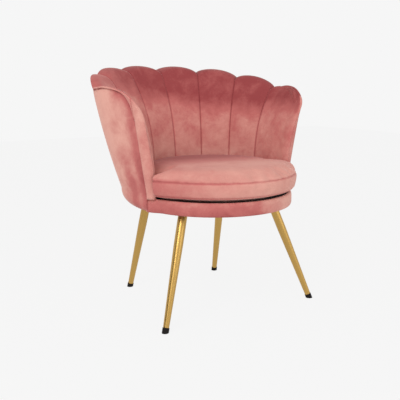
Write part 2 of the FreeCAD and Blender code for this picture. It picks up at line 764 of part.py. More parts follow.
def cushion_shape():
    """A revolved section, trimmed where the cushion sits between the petals."""
    bottom = deck_top + S.soft_gap
    seam = S.cushion_seam_height
    low_seam = S.cushion_low_seam_height
    wide = S.cushion_radius
    side = wide - S.cushion_side_bulge
    low_side = side - 2 * S.cushion_side_bulge
    notch = S.seam_notch
    shoulder_radius = wide - 3.5 * S.cushion_edge_radius
    shoulder_height = seam + 0.6 * (S.cushion_top_height - seam)
    steps = [
        (0, bottom),
        (S.cushion_flat_radius, bottom),
        ((S.cushion_flat_radius + 0.6 * (low_side - S.cushion_flat_radius),
          bottom + 0.32 * (low_seam - bottom)), (low_side, low_seam - notch)),
        (low_side - notch, low_seam),
        (low_side + 1, low_seam + notch),
        ((wide, (seam + low_seam) / 2), (side, seam - notch)),
        (side - notch, seam),
        (side - 1, seam + notch),
        ((side - 0.5 * S.cushion_edge_radius - 4, seam + 0.36 * (S.cushion_top_height - seam)),
         (shoulder_radius, shoulder_height)),
        ((shoulder_radius / 2, seam + 0.92 * (S.cushion_top_height - seam)), (0, S.cushion_top_height)),
    ]
    face = Part.Face(outline(90, steps))
    whole = face.revolve(Vector(0, 0, 0), Vector(0, 0, 1), 360)
    whole.translate(Vector(0, -S.cushion_forward, 0))
    size = 4 * wide
    behind = Part.makeBox(size, size, size, Vector(-size / 2, -S.cushion_shoulder, 0))
    between_petals = Part.makeCylinder(S.cushion_rear_radius, size)
    return whole.cut(behind.cut(between_petals))


piece("seat_cushion", cushion_shape())


# Legs: tapered tubes cut level under their plates, with glide caps

def upright_to(axis):
    return Rotation(Vector(0, 0, 1), axis)


def tube_solid(name, word, thinner):
    """A cone that carries a cylinder on the leg's axis, thinner by a wall for the bore."""
    foot, top = leg_points(name)
    axis = leg_axis(name)
    length = plate_bottom / axis.z - S.cap_floor
    straight = length * S.leg_straight_share
    start = foot + axis * S.cap_floor
    cone = doc.addObject("Part::Cone", f"{word}Taper_{name}")
    cone.setExpression("Radius1", f"Sizes.leg_foot_diameter / 2{thinner}")
    cone.setExpression("Radius2", f"Sizes.leg_top_diameter / 2{thinner}")
    cone.Height = length - straight
    cone.Placement = Placement(start, upright_to(axis))
    shaft = doc.addObject("Part::Cylinder", f"{word}Shaft_{name}")
    shaft.setExpression("Radius", f"Sizes.leg_top_diameter / 2{thinner}")
    shaft.Height = straight + S.leg_top_diameter
    shaft.Placement = Placement(start + axis * (length - straight), upright_to(axis))
    both = doc.addObject("Part::Fuse", f"{word}_{name}")
    both.Base = cone
    both.Tool = shaft
    return both


def slab(name, top):
    """Everything between the floor and a height."""
    reach = 2 * S.front_foot_across
    box = doc.addObject("Part::Box", name)
    box.Length = 2 * reach
    box.Width = 2 * reach
    box.Height = top
    box.Placement = Placement(Vector(-reach, -reach, 0), Rotation())
    return box


def leg(name):
    tube = doc.addObject("Part::Cut", f"Tube_{name}")
    tube.Base = tube_solid(name, "Outside", "")
    tube.Tool = tube_solid(name, "Bore", " - Sizes.leg_wall")
    level = doc.addObject("Part::Common", f"Leg_{name}")
    level.Base = tube
    level.Tool = slab(f"UnderPlate_{name}", plate_bottom)
    return keep(level, f"leg_{name}")


def cap(name):
    """A cup round the tube's end, cut level with the floor."""
    foot, top = leg_points(name)
    axis = leg_axis(name)
    below = S.cap_height
    cup = doc.addObject("Part::Cylinder", f"Cup_{name}")
    cup.setExpression("Radius", "Sizes.leg_foot_diameter / 2 + Sizes.cap_wall")
    cup.Height = S.cap_height + below
    cup.Placement = Placement(foot - axis * below, upright_to(axis))
    hollow = doc.addObject("Part::Cone", f"Hollow_{name}")
    hollow.setExpression("Radius1", "Sizes.leg_foot_diameter / 2 + Sizes.hole_clearance / 2")
    hollow.setExpression("Radius2", "Sizes.leg_top_diameter / 2 + Sizes.hole_clearance / 2")
    length = plate_bottom / axis.z - S.cap_floor
    hollow.Height = length * (1 - S.leg_straight_share)
    hollow.Placement = Placement(foot + axis * S.cap_floor, upright_to(axis))
    open_cup = doc.addObject("Part::Cut", f"OpenCup_{name}")
    open_cup.Base = cup
    open_cup.Tool = hollow
    level = doc.addObject("Part::Common", f"Cap_{name}")
    level.Base = open_cup
    level.Tool = slab(f"AboveFloor_{name}", S.base_bottom)
    return keep(level, f"foot_cap_{name}")


def plate(name):
    """A square plate with rounded corners and four screw holes, welded to its leg."""
    body = new_body(f"leg_plate_{name}")
    middle = plate_middle(name)
    half = S.plate_side / 2
    turn = Rotation(Vector(0, 0, 1), plate_turn(name))
    sketch = flat_sketch(body, f"PlateOutline_{name}", plate_bottom)
    round_corner = S.plate_corner
    inner = half - round_corner
    bend = inner + round_corner * math.cos(math.radians(45))
    for quarter in range(4):
        spin = Rotation(Vector(0, 0, 1), 90 * quarter)

        def place(x, y):
            return turn.multVec(spin.multVec(Vector(x, y, 0))) + Vector(middle.x, middle.y, 0)

        sketch.addGeometry(Part.LineSegment(place(half, -inner), place(half, inner)), False)
        sketch.addGeometry(Part.Arc(place(half, inner), place(bend, bend), place(inner, half)), False)
    draw_circles(sketch, screw_points(name), (S.screw_diameter + S.hole_clearance) / 2)
    pad(body, sketch, "Sizes.plate_thickness")
    return body


for name in LEGS:
    leg(name)
    plate(name)
    cap(name)


def leg_screw(point):
    """A low-headed machine screw: its shank runs up through plate and board into the tee nut."""
    head_bottom = point - Vector(0, 0, S.screw_head_height)
    head = Part.makeCylinder(S.screw_head_diameter / 2, S.screw_head_height, head_bottom)
    shank = Part.makeCylinder(S.screw_diameter / 2, S.screw_length, point)
    return head.fuse(shank).removeSplitter()


def tee_nut(point):
    """A flange let into the board's top, with a barrel down the hole."""
    flange_bottom = Vector(point.x, point.y, board_top - S.nut_flange_height)
    barrel_bottom = Vector(point.x, point.y, board_top - S.nut_barrel_length)
    flange = Part.makeCylinder(S.nut_flange_diameter / 2, S.nut_flange_height, flange_bottom)
    barrel = Part.makeCylinder(S.nut_barrel_diameter / 2, S.nut_barrel_length, barrel_bottom)
    bore_radius = (S.screw_diameter + S.hole_clearance) / 2
    bore = Part.makeCylinder(bore_radius, S.board_thickness, barrel_bottom)
    return flange.fuse(barrel).cut(bore).removeSplitter()


piece("leg_screws", Part.makeCompound([leg_screw(point) for point in all_screws]))
piece("tee_nuts", Part.makeCompound([tee_nut(point) for point in all_screws]))

# The whole chair moves so that the origin is under the middle of its outline
rear_reach = rim(0)[2][0]
front_reach = S.cushion_radius + S.cushion_forward
axis_shift = Vector(0, (front_reach - rear_reach) / 2, 0)
for thing in FINISHED:
    thing.Placement = Placement(axis_shift, Rotation()).multiply(thing.Placement)

doc.recompute()
for thing in doc.Objects:
    if "Invalid" in thing.State or "Error" in thing.State:
        raise RuntimeError(f"{thing.Label} failed: {thing.State}")
for thing in FINISHED:
    if thing.Shape.isNull() or not thing.Shape.isValid():
        raise RuntimeError(f"{thing.Label} has no valid shape")
for thing in FINISHED:
    thing.Shape.exportStep(f"parts/{thing.Label}.step")
    print(thing.Label, len(thing.Shape.Solids), "solids", round(thing.Shape.Volume / 1000, 1), "cm3")
print(len(FINISHED), "sub-parts, tub axis at y", round(axis_shift.y, 3))
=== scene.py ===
# %% [markdown]
# # A scallop back chair in velvet
# A round tub of eight padded petals stands on a round base with four splayed brass-coloured legs.
# A loose round cushion lies in the tub. The measured frame is loaded first, and every soft piece is
# then worked out with numpy in the same place as the plain solid that it stands for.

import json
import math

import bpy
import numpy as np
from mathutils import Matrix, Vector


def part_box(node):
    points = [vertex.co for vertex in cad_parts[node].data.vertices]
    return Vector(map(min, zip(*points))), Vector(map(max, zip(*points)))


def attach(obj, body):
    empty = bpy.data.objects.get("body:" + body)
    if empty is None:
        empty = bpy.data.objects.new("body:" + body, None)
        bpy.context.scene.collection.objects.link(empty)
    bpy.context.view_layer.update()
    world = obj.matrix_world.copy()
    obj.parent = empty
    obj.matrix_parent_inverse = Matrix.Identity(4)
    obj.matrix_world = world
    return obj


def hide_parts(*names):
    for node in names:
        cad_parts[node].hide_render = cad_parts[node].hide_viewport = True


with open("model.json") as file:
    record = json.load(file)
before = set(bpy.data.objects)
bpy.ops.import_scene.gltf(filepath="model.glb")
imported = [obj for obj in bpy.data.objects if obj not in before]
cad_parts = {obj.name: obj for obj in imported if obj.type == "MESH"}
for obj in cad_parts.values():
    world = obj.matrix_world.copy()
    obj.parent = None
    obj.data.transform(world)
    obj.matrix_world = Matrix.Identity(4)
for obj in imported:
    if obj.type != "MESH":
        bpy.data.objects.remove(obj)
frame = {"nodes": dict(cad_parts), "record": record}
scene = bpy.context.scene
nodes = frame["nodes"]
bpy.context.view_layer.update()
base_low, base_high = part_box("deck_pad")
BASE_FORWARD = 0.012
AXIS_Y = (base_low.y + base_high.y) / 2 + BASE_FORWARD
print("the tub's upright axis stands at y", round(AXIS_Y, 4), "and the frame has", len(nodes), "nodes")

# %% [markdown]
# ## The form of the tub
# The tub could be sculpted, but its petals, cover and rim have to meet along the same lines. So one
# set of small formulas gives the inner wall, the outer skin and the scalloped top edge for any angle
# round the tub. Angle 0 is the middle of the back, and 90 degrees is the left arm.

# %% Measures of the tub, in metres and degrees
# Angles: one petal, the seam before the arm's petal, the welt and the end of the arm front.
PETAL = 23.6
ARM_START, WELT, ARM_FRONT = 3 * PETAL, 100.5, 106.0
# Inner wall: its radius low down and at the rim, and the height from which it flares.
WALL, RIM_INSIDE, FLARE_FROM = 0.250, 0.335, 0.430
# Rim at the seams: its height at the back, its fall, and the angle from which it stays level.
BACK_HEIGHT, RIM_FALL, FALL_POWER, LEVEL_FROM = 0.7508, 0.097, 1.3, 76.5
# The lobe on each petal, and how far the roll drops inside and outside of the top edge.
LOBE_RISE, LOBE_POWER, ROLL_DROP, ROLL_WRAP = 0.0208, 0.65, 0.014, 0.0045
# Depth of a petal's pillow, how far the roll stands out, and where across it the top lies.
SWELL, LEAN, SUMMIT_SHARE = 0.014, 0.004, 0.8
# Outer skin: radius and height at its foot and top, then its bow and the back's extra flare.
SKIN_FOOT, SKIN_FOOT_HEIGHT, SKIN_TOP, SKIN_TOP_HEIGHT = 0.293, 0.386, 0.3815, 0.736
BELLY, REAR_FLARE, REAR_FLARE_END = 0.0075, 0.014, 70.0
# How far the arms are drawn in: from which angle, at the skin's top and foot, and at the wall.
NARROW_FROM, NARROW_TOP, NARROW_LOW, NARROW_WALL = 68.0, 0.050, 0.022, 0.015
# The rounded top corner of the arm: where it begins for petals and cover, and where it ends.
CORNER_FROM, COVER_CORNER_FROM, CORNER_END, CORNER_POWER = 77.0, 84.0, 0.600, 2.35
SEAT_BOARD_TOP, BAND_TOP, BAND_BOTTOM = 0.358, 0.3717, 0.330
# Gaps between sewn pieces, so that no two faces lie in one place.
CLEAR, SEAM_CLEAR = 0.0003, 0.0002
# The corner's curve stops a little short of upright.
SHARE_END = 0.9995


def ease(x):
    """A smooth step: three times x squared less two times x cubed, kept between 0 and 1."""
    x = np.clip(x, 0.0, 1.0)
    return x * x * (3 - 2 * x)


def drawn_in(angle):
    """0 round the back, easing to 1 at the arm fronts."""
    return ease((np.abs(angle) - NARROW_FROM) / (WELT - NARROW_FROM))


def seam_line(angle):
    """Height of the rim at the petal seams: it falls with one less the cosine, to a power."""
    turn = np.radians(np.minimum(np.abs(angle), LEVEL_FROM))
    return BACK_HEIGHT - RIM_FALL * (1 - np.cos(turn)) ** FALL_POWER


def crown(angle, power=LOBE_POWER):
    """Across one petal: four times share times one less share, to a power. Full past the last seam."""
    place = np.abs(angle) / PETAL
    share = np.where(place >= 3, np.minimum(place - 3, 0.5), place - np.floor(place))
    return np.clip(4 * share * (1 - share), 0, 1) ** power


def rounded_corner(angle, first, last, level):
    """A quarter of a superellipse that falls from a level at the first angle to the last one."""
    share = np.clip((np.abs(angle) - first) / (last - first), 0, SHARE_END)
    return CORNER_END + (level - CORNER_END) * (1 - share ** CORNER_POWER) ** (1 / CORNER_POWER)


def top_edge(angle):
    """The seam line and a lobe on each petal, rounded down at the arm fronts."""
    level = seam_line(angle) + LOBE_RISE * crown(angle)
    return rounded_corner(angle, CORNER_FROM, ARM_FRONT, level)


def cover_edge(angle):
    """Where the outer cover begins, under the roll of the petals."""
    inner = np.minimum(np.abs(angle), COVER_CORNER_FROM)
    return rounded_corner(angle, COVER_CORNER_FROM, WELT, top_edge(inner) - ROLL_WRAP)


def wall(height, angle, behind=0.0):
    """Inner wall: upright, then an arc of a circle that flares out to the rim."""
    rise = seam_line(angle) - ROLL_DROP - FLARE_FROM
    run = RIM_INSIDE - NARROW_WALL * drawn_in(angle) - WALL
    flare = (run * run + rise * rise) / (2 * run)
    up = np.clip(height - FLARE_FROM, 0, None)
    bend = np.sqrt((flare - behind) ** 2 - np.minimum(up, flare - behind) ** 2)
    return WALL + flare - bend


def skin(height, angle, under=0.0):
    """Outer skin: a slanting line with a bow in it, flared at the back and drawn in at the arms."""
    share = np.clip(height - SKIN_FOOT_HEIGHT, 0, None) / (SKIN_TOP_HEIGHT - SKIN_FOOT_HEIGHT)
    radius = SKIN_FOOT + (SKIN_TOP - SKIN_FOOT) * share + 4 * BELLY * share * (1 - share)
    radius = radius + REAR_FLARE * (1 - ease(np.abs(angle) / REAR_FLARE_END)) * share * share
    narrowed = NARROW_LOW + (NARROW_TOP - NARROW_LOW) * share * (2 - share)
    return radius - narrowed * drawn_in(angle) - under


def in_place(radius, height, angle):
    """Points from radius, height and angle round the tub's axis."""
    turn = np.radians(angle)
    radius, height, turn = np.broadcast_arrays(radius, height, turn)
    return np.stack([radius * np.sin(turn), AXIS_Y + radius * np.cos(turn), height], axis=-1)


print("rim at the back", round(float(top_edge(PETAL / 2)), 4),
      "and at the arm", round(float(top_edge(CORNER_FROM)), 4))

# %% [markdown]
# ## From a grid of points to a closed piece
# Every padded piece is a loop of points, its section, carried round the tub. The helper joins the
# loops with four-sided faces and closes both ends. It then works out the enclosed volume, because a
# negative one means that the faces look inwards and have to be turned.

# %% Mesh helpers


def add_values(mesh, values):
    """Named numbers for each point of a mesh, which the materials read."""
    for label, numbers in values.items():
        layer = mesh.attributes.new(label, "FLOAT", "POINT")
        layer.data.foreach_set("value", np.asarray(numbers, dtype=np.float32).ravel())


def mesh_from(name, points, faces, values=None):
    """A smooth mesh object from points, faces and named values for each point."""
    mesh = bpy.data.meshes.new(name)
    mesh.from_pydata(points.reshape(-1, 3).tolist(), [], faces)
    mesh.polygons.foreach_set("use_smooth", np.ones(len(mesh.polygons), dtype=bool))
    add_values(mesh, values or {})
    mesh.update()
    thing = bpy.data.objects.new(name, mesh)
    scene.collection.objects.link(thing)
    return thing


def enclosed(points, quads):
    """Signed volume: a sixth of the sum of the triple products of the faces' corners."""
    a, b, c, d = (points[quads[:, corner]] for corner in range(4))
    first = np.einsum("ij,ij->i", a, np.cross(b, c))
    second = np.einsum("ij,ij->i", a, np.cross(c, d))
    return float((first + second).sum()) / 6


def looped_quads(index):
    """Four-sided faces between each row of point numbers and the next. Every row closes on itself."""
    here, ahead = index[:-1], index[1:]
    return np.stack([here, ahead, np.roll(ahead, -1, 1), np.roll(here, -1, 1)], axis=-1).reshape(-1, 4)


def ring_piece(name, loops, values=None):
    """Closed piece from loops of points, an array of stations by points in a loop by 3."""
    stations, around = loops.shape[:2]
    index = np.arange(stations * around).reshape(stations, around)
    quads = looped_quads(index)
    points = loops.reshape(-1, 3)
    middle = points.mean(axis=0)
    turned = enclosed(points - middle, quads) < 0
    faces = (quads[:, ::-1] if turned else quads).tolist()
    first, last = index[0].tolist(), index[-1].tolist()
    faces += [first[::-1], last] if turned else [first, last[::-1]]
    return mesh_from(name, points, faces, values)


def spread(count, power=1.0):
    """Shares from 0 to 1, closer together at both ends where power is under 1."""
    share = np.linspace(-1, 1, count)
    return 0.5 + 0.5 * np.sign(share) * np.abs(share) ** power


def bezier(a, b, c, d, share):
    """Cubic curve from a to d, drawn towards b and c, for arrays of (radius, height) pairs."""
    s = share[None, :, None]
    a, b, c, d = (point[:, None, :] for point in (a, b, c, d))
    return (1 - s) ** 3 * a + 3 * (1 - s) ** 2 * s * b + 3 * (1 - s) * s * s * c + s ** 3 * d


print("mesh helpers are ready")

# %% [markdown]
# ## Petals
# Each petal of the real chair is a pad of foam in velvet, sewn to its neighbours so that a sharp
# valley runs down every seam. It could be cut from one bent sheet, but separate closed pads keep the
# valleys sharp. A section runs up the inner face, over the rolled rim, under the edge of the outer
# cover and down the back. The front petals also wrap round the arm front in a narrow rounded nose.

# %% Sections of the petals
# Pillow: its share at the seams, its power, and how it flattens from an angle before the arm front.
PILLOW_LEAST, PILLOW_POWER, FLATTENED, FLATTEN_FROM, FLATTEN_OVER = 0.6, 0.45, 0.7, 88, 14
# The roll leans out least round the back, and more from an angle before the arm front.
LEAN_LEAST, LEAN_FROM, LEAN_OVER = 0.3, 80, 12
# Hidden back: the cover's depth, the inner panel, and the ledge on top of the panels.
COVER_DEPTH, PANEL_GAP, LEDGE_DROP, ARM_LEDGE, LEDGE_FROM = 0.0135, 0.0046, 0.0258, 0.560, 74.0
NOSE_END, TUCK, ROLL_OUT = 0.996, 0.0008, 0.0012


def lean(angle):
    """How far the roll stands out over the cover: a little all round, more at the arm fronts."""
    return LEAN * (LEAN_LEAST + (1 - LEAN_LEAST) * ease((np.abs(angle) - LEAN_FROM) / LEAN_OVER))


def nose_share(angle):
    """Share of the thickness left past the welt: a quarter circle over the way round the arm front."""
    way = np.clip((np.abs(angle) - WELT) / (ARM_FRONT - WELT), 0, NOSE_END)
    return np.sqrt(1 - way * way)


def pair(radius, height):
    """Arrays of radius and height as (radius, height) pairs."""
    radius, height = np.broadcast_arrays(radius, height)
    return np.stack([radius, height], axis=-1)


def petal_loops(angle, foot):
    """Loops of (radius, height) for a column of angles: face, flare, inner roll, outer roll, back."""
    a = angle[:, None]
    full = nose_share(a)
    pillow = PILLOW_LEAST + (1 - PILLOW_LEAST) * crown(a, PILLOW_POWER)
    bulge = SWELL * pillow * (1 - FLATTENED * ease((np.abs(a) - FLATTEN_FROM) / FLATTEN_OVER))
    top = top_edge(a)
    start = top - ROLL_DROP * full
    low = foot + (FLARE_FROM - foot) * np.linspace(0, 1, 12)[None, :-1]
    face = pair(WALL - bulge + 0 * low, low + 0 * a)
    share = np.linspace(0, 1, 40)[None, :]
    rising = FLARE_FROM + (start - FLARE_FROM) * share
    flare = pair(wall(rising, a) - bulge * (1 - 0.5 * ease(2 * share - 1)), rising)
    begin, before = flare[:, -1], flare[:, -4]
    way = begin - before
    way = way / np.linalg.norm(way, axis=1, keepdims=True)
    outer_height = (top - ROLL_WRAP * full)[:, 0]
    outer = pair(skin(outer_height, angle) + lean(angle) * crown(angle), outer_height)
    summit = pair(begin[:, 0] + SUMMIT_SHARE * (outer[:, 0] - begin[:, 0]), top[:, 0])
    inward = summit - begin
    back_off = np.stack([inward[:, 0] * 0.5, 0 * inward[:, 0]], axis=1)
    onward = begin + way * ROLL_DROP * 0.7
    rolled_in = bezier(begin, onward, summit - back_off, summit, np.linspace(0, 1, 16)[1:])
    out = outer - summit
    over = summit + np.stack([out[:, 0] * 0.9, 0 * out[:, 0]], axis=1)
    beside = outer + np.stack([0 * out[:, 0] + ROLL_OUT, -0.6 * out[:, 1]], axis=1)
    rolled_out = bezier(summit, over, beside, outer, np.linspace(0, 1, 12)[1:])
    ended = np.minimum(cover_edge(angle) + CLEAR, outer_height - TUCK)[:, None]
    strip_height = outer_height[:, None] + (ended - outer_height[:, None]) * np.linspace(0, 1, 14)[None, 1:]
    strip_radius = skin(strip_height, a) + lean(a) * crown(a) * np.linspace(1, LEAN_LEAST, 13)[None, :]
    strip = pair(strip_radius, strip_height)
    front = np.concatenate([face, flare, rolled_in, rolled_out, strip], axis=1)
    return front, ended


def hidden_back(angle, ended, foot):
    """From the tucked edge down inside the cover, across to the inner panel and down to the foot."""
    a = angle[:, None]
    fall = ease((np.abs(a) - LEDGE_FROM) / (WELT - LEDGE_FROM))
    level = seam_line(a) - LEDGE_DROP
    ledge = np.minimum(level + (ARM_LEDGE - level) * fall, ended - 0.004)
    down = pair(skin(ended, a, COVER_DEPTH), ended)
    side_height = ended + (ledge - ended) * np.linspace(0.1, 1, 8)[None, :]
    side = pair(skin(side_height, a, COVER_DEPTH), side_height)
    behind_height = ledge + (foot - ledge) * np.linspace(0, 1, 24)[None, :]
    behind = pair(wall(behind_height, a, PANEL_GAP) + 0 * behind_height, behind_height)
    behind[..., 0] = np.where(behind_height <= FLARE_FROM, WALL + PANEL_GAP, behind[..., 0])
    return np.concatenate([down, side, behind], axis=1)


def nose_back(angle, ended, foot):
    """Past the welt the velvet runs on down the outside of the arm front, to the foot."""
    a = angle[:, None]
    height = ended + (foot - ended) * np.linspace(0.02, 1, 33)[None, :]
    return pair(skin(height, a) + LEAN * LEAN_LEAST + 0 * height, height)


trial, _ = petal_loops(np.array([PETAL / 2]), SEAT_BOARD_TOP + CLEAR)
print("a petal's section follows", trial.shape[1], "points on its velvet")

# %% [markdown]
# The velvet's pile lies differently over the chair, so it shows as dark and light fields. A value
# called nap_and_light goes with every point: 0 for pile that is brushed dark and 1 for pile that catches
# light, and it also carries painted light and shade. A second value called seam paints shade into the
# sewn creases and under the rolls.

# %% Pile, painted light and shade, and the pieces of the petals
# EDGE_SHADE is the strength of the painted shade under the rolls, and the seam and welt widths also set the
# width of the painted shade along those creases.
ARM_PILE_LOW, ARM_PILE_BLEND, EDGE_SHADE = 0.60, 0.07, 1.6
PETAL_SEAM_WIDTH, ARM_SEAM_WIDTH, WELT_WIDTH, WELT_DEPTH = 0.0025, 0.004, 0.003, 0.0022


def nap_and_light_of_petals(angle, height):
    """Dark in a wavy band under the rim, lighter below, and light all over towards the right arm. These are
    the pile's fields with painted light in the lighter parts.
    """
    under_rim = seam_line(angle) - height
    right = 1 - ease((angle + 62) / 45)
    wave = 0.02 * np.sin(np.radians(angle * 3 + 20)) * (1 - right)
    begin = 0.050 - 0.065 * right + wave
    band = ease((under_rim - begin) / 0.085)
    highest = 0.04 + 0.40 * right
    lowest = 0.60 + 0.36 * right + 0.16 * ease((0.60 - height) / 0.15) * (1 - right)
    return np.clip(highest + band * (lowest - highest), 0, 1)


def sewn(distance, width):
    """1 on a sewn line, falling to 0 with e to the minus squared distance over width."""
    return np.exp(-((distance / width) ** 2))


def petal_piece(name, first, last):
    """One ordinary petal between two seam angles."""
    gap = math.degrees(SEAM_CLEAR / RIM_INSIDE) * np.sign(last)
    angle = first + gap + (last - first - 2 * gap) * spread(45, 0.62)
    foot = SEAT_BOARD_TOP + CLEAR
    front, ended = petal_loops(angle, foot)
    loops = np.concatenate([front, hidden_back(angle, ended, foot)], axis=1)
    points = in_place(loops[..., 0], loops[..., 1], angle[:, None])
    edge = np.radians(np.minimum(np.abs(angle - first), np.abs(last - angle)))
    # Painted shade: the seam value darkens the valleys at the petal seams, and EDGE_SHADE darkens the strip
    # tucked under the roll.
    seam = sewn(edge[:, None] * loops[..., 0], PETAL_SEAM_WIDTH)
    seam[:, front.shape[1] - 15:] = EDGE_SHADE
    nap_and_light = nap_and_light_of_petals(angle[:, None] + 0 * loops[..., 0], loops[..., 1])
    return ring_piece(name, points, {"nap_and_light": nap_and_light, "seam": seam})


def front_petal_piece(name, side):
    """A front petal: the pad as far as the welt, then the nose round the arm front."""
    gap = math.degrees(SEAM_CLEAR / RIM_INSIDE)
    body = ARM_START + gap + (WELT - ARM_START - gap) * spread(60, 0.75)
    turn = np.linspace(0.02, math.pi / 2, 26)
    nose = WELT + (ARM_FRONT - WELT) * np.sin(turn)
    foot = BAND_TOP + CLEAR
    front, ended = petal_loops(np.concatenate([body, nose]), foot)
    inner, outer = hidden_back(body, ended[:len(body)], foot), nose_back(nose, ended[len(body):], foot)
    loops = np.concatenate([front, np.concatenate([inner, outer], axis=0)], axis=1)
    angle = np.concatenate([body, nose])[:, None]
    radius, height = loops[..., 0], loops[..., 1]
    flattened = (1 - FLATTENED) * SWELL * crown(angle)
    middle = (wall(height, angle) - flattened + skin(height, angle)) / 2
    past = (angle > WELT) * np.ones_like(radius)
    along = np.radians(angle - WELT) * radius
    radius = np.where(past > 0, middle + nose_share(angle) * (radius - middle), radius)
    outside = past * (radius > middle)
    radius = radius - outside * WELT_DEPTH * sewn(along, WELT_WIDTH)
    points = in_place(radius, height, side * angle)
    # Painted shade along the arm seam and, past the welt, along the welt line.
    from_seam = np.radians(angle - ARM_START) * radius
    seam = np.maximum(sewn(from_seam, ARM_SEAM_WIDTH), outside * sewn(along, WELT_WIDTH))
    # Painted light: the right arm's petal gets a lighter value than the left arm's, and on both the roll
    # keeps most of the light value.
    light, darker = (0.78, 0.20) if side < 0 else (0.66, 0.60)
    order, count = np.arange(loops.shape[1])[None, :], front.shape[1]
    on_roll = order >= count - 20
    upper = ease((height - ARM_PILE_LOW) / ARM_PILE_BLEND)
    nap_and_light = light - darker * upper * (1 - outside) * (1 - 0.9 * on_roll)
    # Painted shade at the edge that tucks under the roll.
    near_end = np.abs(order - count) < 3
    seam = np.maximum(seam, EDGE_SHADE * near_end * (angle <= WELT))
    return ring_piece(name, points, {"nap_and_light": nap_and_light + 0 * radius, "seam": seam})


petals = []
for number, word in enumerate(["centre", "rear", "side"]):
    for side, hand in ((1, "left"), (-1, "right")):
        label = f"velvet_petal_{word}_{hand}"
        piece = petal_piece(label, side * number * PETAL, side * (number + 1) * PETAL)
        petals.append((piece, f"petal_{word}_{hand}"))
for side, hand in ((1, "left"), (-1, "right")):
    petals.append((front_petal_piece(f"velvet_petal_front_{hand}", side), f"petal_front_{hand}"))
for piece, node in petals:
    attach(piece, "chair")
    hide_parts(node)
print(len(petals), "petals, each of", len(petals[0][0].data.polygons), "faces")

# %% [markdown]
# ## Outer cover
# One wide piece of velvet over wadding closes the back of the tub. Its top edge is sewn under the
# roll of the petals, and its foot turns under the base. It could be a bent plane with a Solidify
# modifier, but its bottom corner grows tighter towards the arms, so its section is worked out for
# every angle. Both the top and the front edges curl in, as a sewn edge does.

# %% Outer cover
COVER_THICK, CORNER_REAR, CORNER_ARM, CORNER_TURN = 0.006, 0.052, 0.022, math.radians(72)
EDGE_CURL, EDGE_CURL_WIDTH, WELT_CURL = 0.0024, 0.004, 0.0020
EDGE_PULL, EDGE_PULL_WIDTH, WELT_RADIUS = 0.0040, 0.022, 0.31


def cover_loops(angle):
    """Down the outside, round the bottom corner, then back up 6 mm inside it."""
    a = angle[:, None]
    top = cover_edge(a) - CLEAR
    share = np.concatenate([np.linspace(0, 0.06, 9)[:-1], np.linspace(0.06, 1, 50)])[None, :]
    height = top + (SKIN_FOOT_HEIGHT - top) * share
    corner = CORNER_REAR + (CORNER_ARM - CORNER_REAR) * drawn_in(a)
    begin = BAND_BOTTOM + corner
    swing = CORNER_TURN * np.linspace(0, 1, 14)[None, :]
    from_top = top - height
    from_front = np.radians(WELT - np.abs(a)) * WELT_RADIUS
    curl = EDGE_CURL * sewn(from_top, EDGE_CURL_WIDTH) + WELT_CURL * sewn(from_front, EDGE_CURL_WIDTH)
    curl = curl + EDGE_PULL * sewn(from_top, EDGE_PULL_WIDTH)
    foot = skin(SKIN_FOOT_HEIGHT, a)
    sides = []
    for under in (0.0, COVER_THICK):
        down = pair(skin(height, a, under) - curl, height)
        bend_radius = corner - under
        bend = pair(foot - corner + bend_radius * np.cos(swing), begin - bend_radius * np.sin(swing))
        sides.append(np.concatenate([down, bend], axis=1))
    return np.concatenate([sides[0], sides[1][:, ::-1]], axis=1)


def nap_and_light_of_cover(angle, height):
    """Painted light and shade with upright pile streaks: light at the upper sides, darker low down, and
    darker in soft upright streaks towards the arm fronts.
    """
    near_front = ease((np.abs(angle) - 72) / 24)
    streak = 0.5 + 0.5 * np.sin(np.radians(np.abs(angle) * 26 + 60 * np.sin(height * 14)))
    low = ease((0.56 - height) / 0.16)
    welt_side = ease((np.abs(angle) - 84) / 14)
    dark = 0.34 * near_front * streak + 0.20 * welt_side + 0.30 * low * (0.5 + 0.5 * near_front)
    return np.clip(1.02 - dark, 0, 1)


arm_angle = np.linspace(ARM_START, WELT, 70)[1:]
cover_angle = np.concatenate([-arm_angle[::-1], np.linspace(-ARM_START, ARM_START, 181), arm_angle])
cover_shape = cover_loops(cover_angle)
cover_points = in_place(cover_shape[..., 0], cover_shape[..., 1], cover_angle[:, None])
# Painted shade: the seam value darkens the cover's top edge under the roll, and a wider band of painted
# shade darkens the cover below the welt towards the arm fronts.
cover_drop = cover_edge(cover_angle[:, None]) - cover_shape[..., 1]
cover_seam = EDGE_SHADE * sewn(cover_drop, 0.0035)
painted_welt_shade = 0.45 * sewn(cover_drop, 0.024) * ease((np.abs(cover_angle[:, None]) - 84) / 7)
cover_nap_and_light = nap_and_light_of_cover(cover_angle[:, None] + 0 * cover_drop, cover_shape[..., 1]) - painted_welt_shade
outer_cover = ring_piece("velvet_outer_cover", cover_points, {"nap_and_light": cover_nap_and_light, "seam": cover_seam})
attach(outer_cover, "chair")
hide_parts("outer_cover")
print("outer cover with", len(outer_cover.data.polygons), "faces")

# %% [markdown]
# ## Base band
# A padded band of velvet runs round the front of the base and dies into the arms. Its section is a
# soft rectangle, here a superellipse, carried round the base's own centre.

# %% Base band
BAND_OUT, BAND_IN, BAND_HALF = 0.2475, 0.2326, 84.2
# Both ends of the band swing outwards, to die into the cover.
END_FLARE, END_FROM, END_OVER = 0.0170, 72, 12


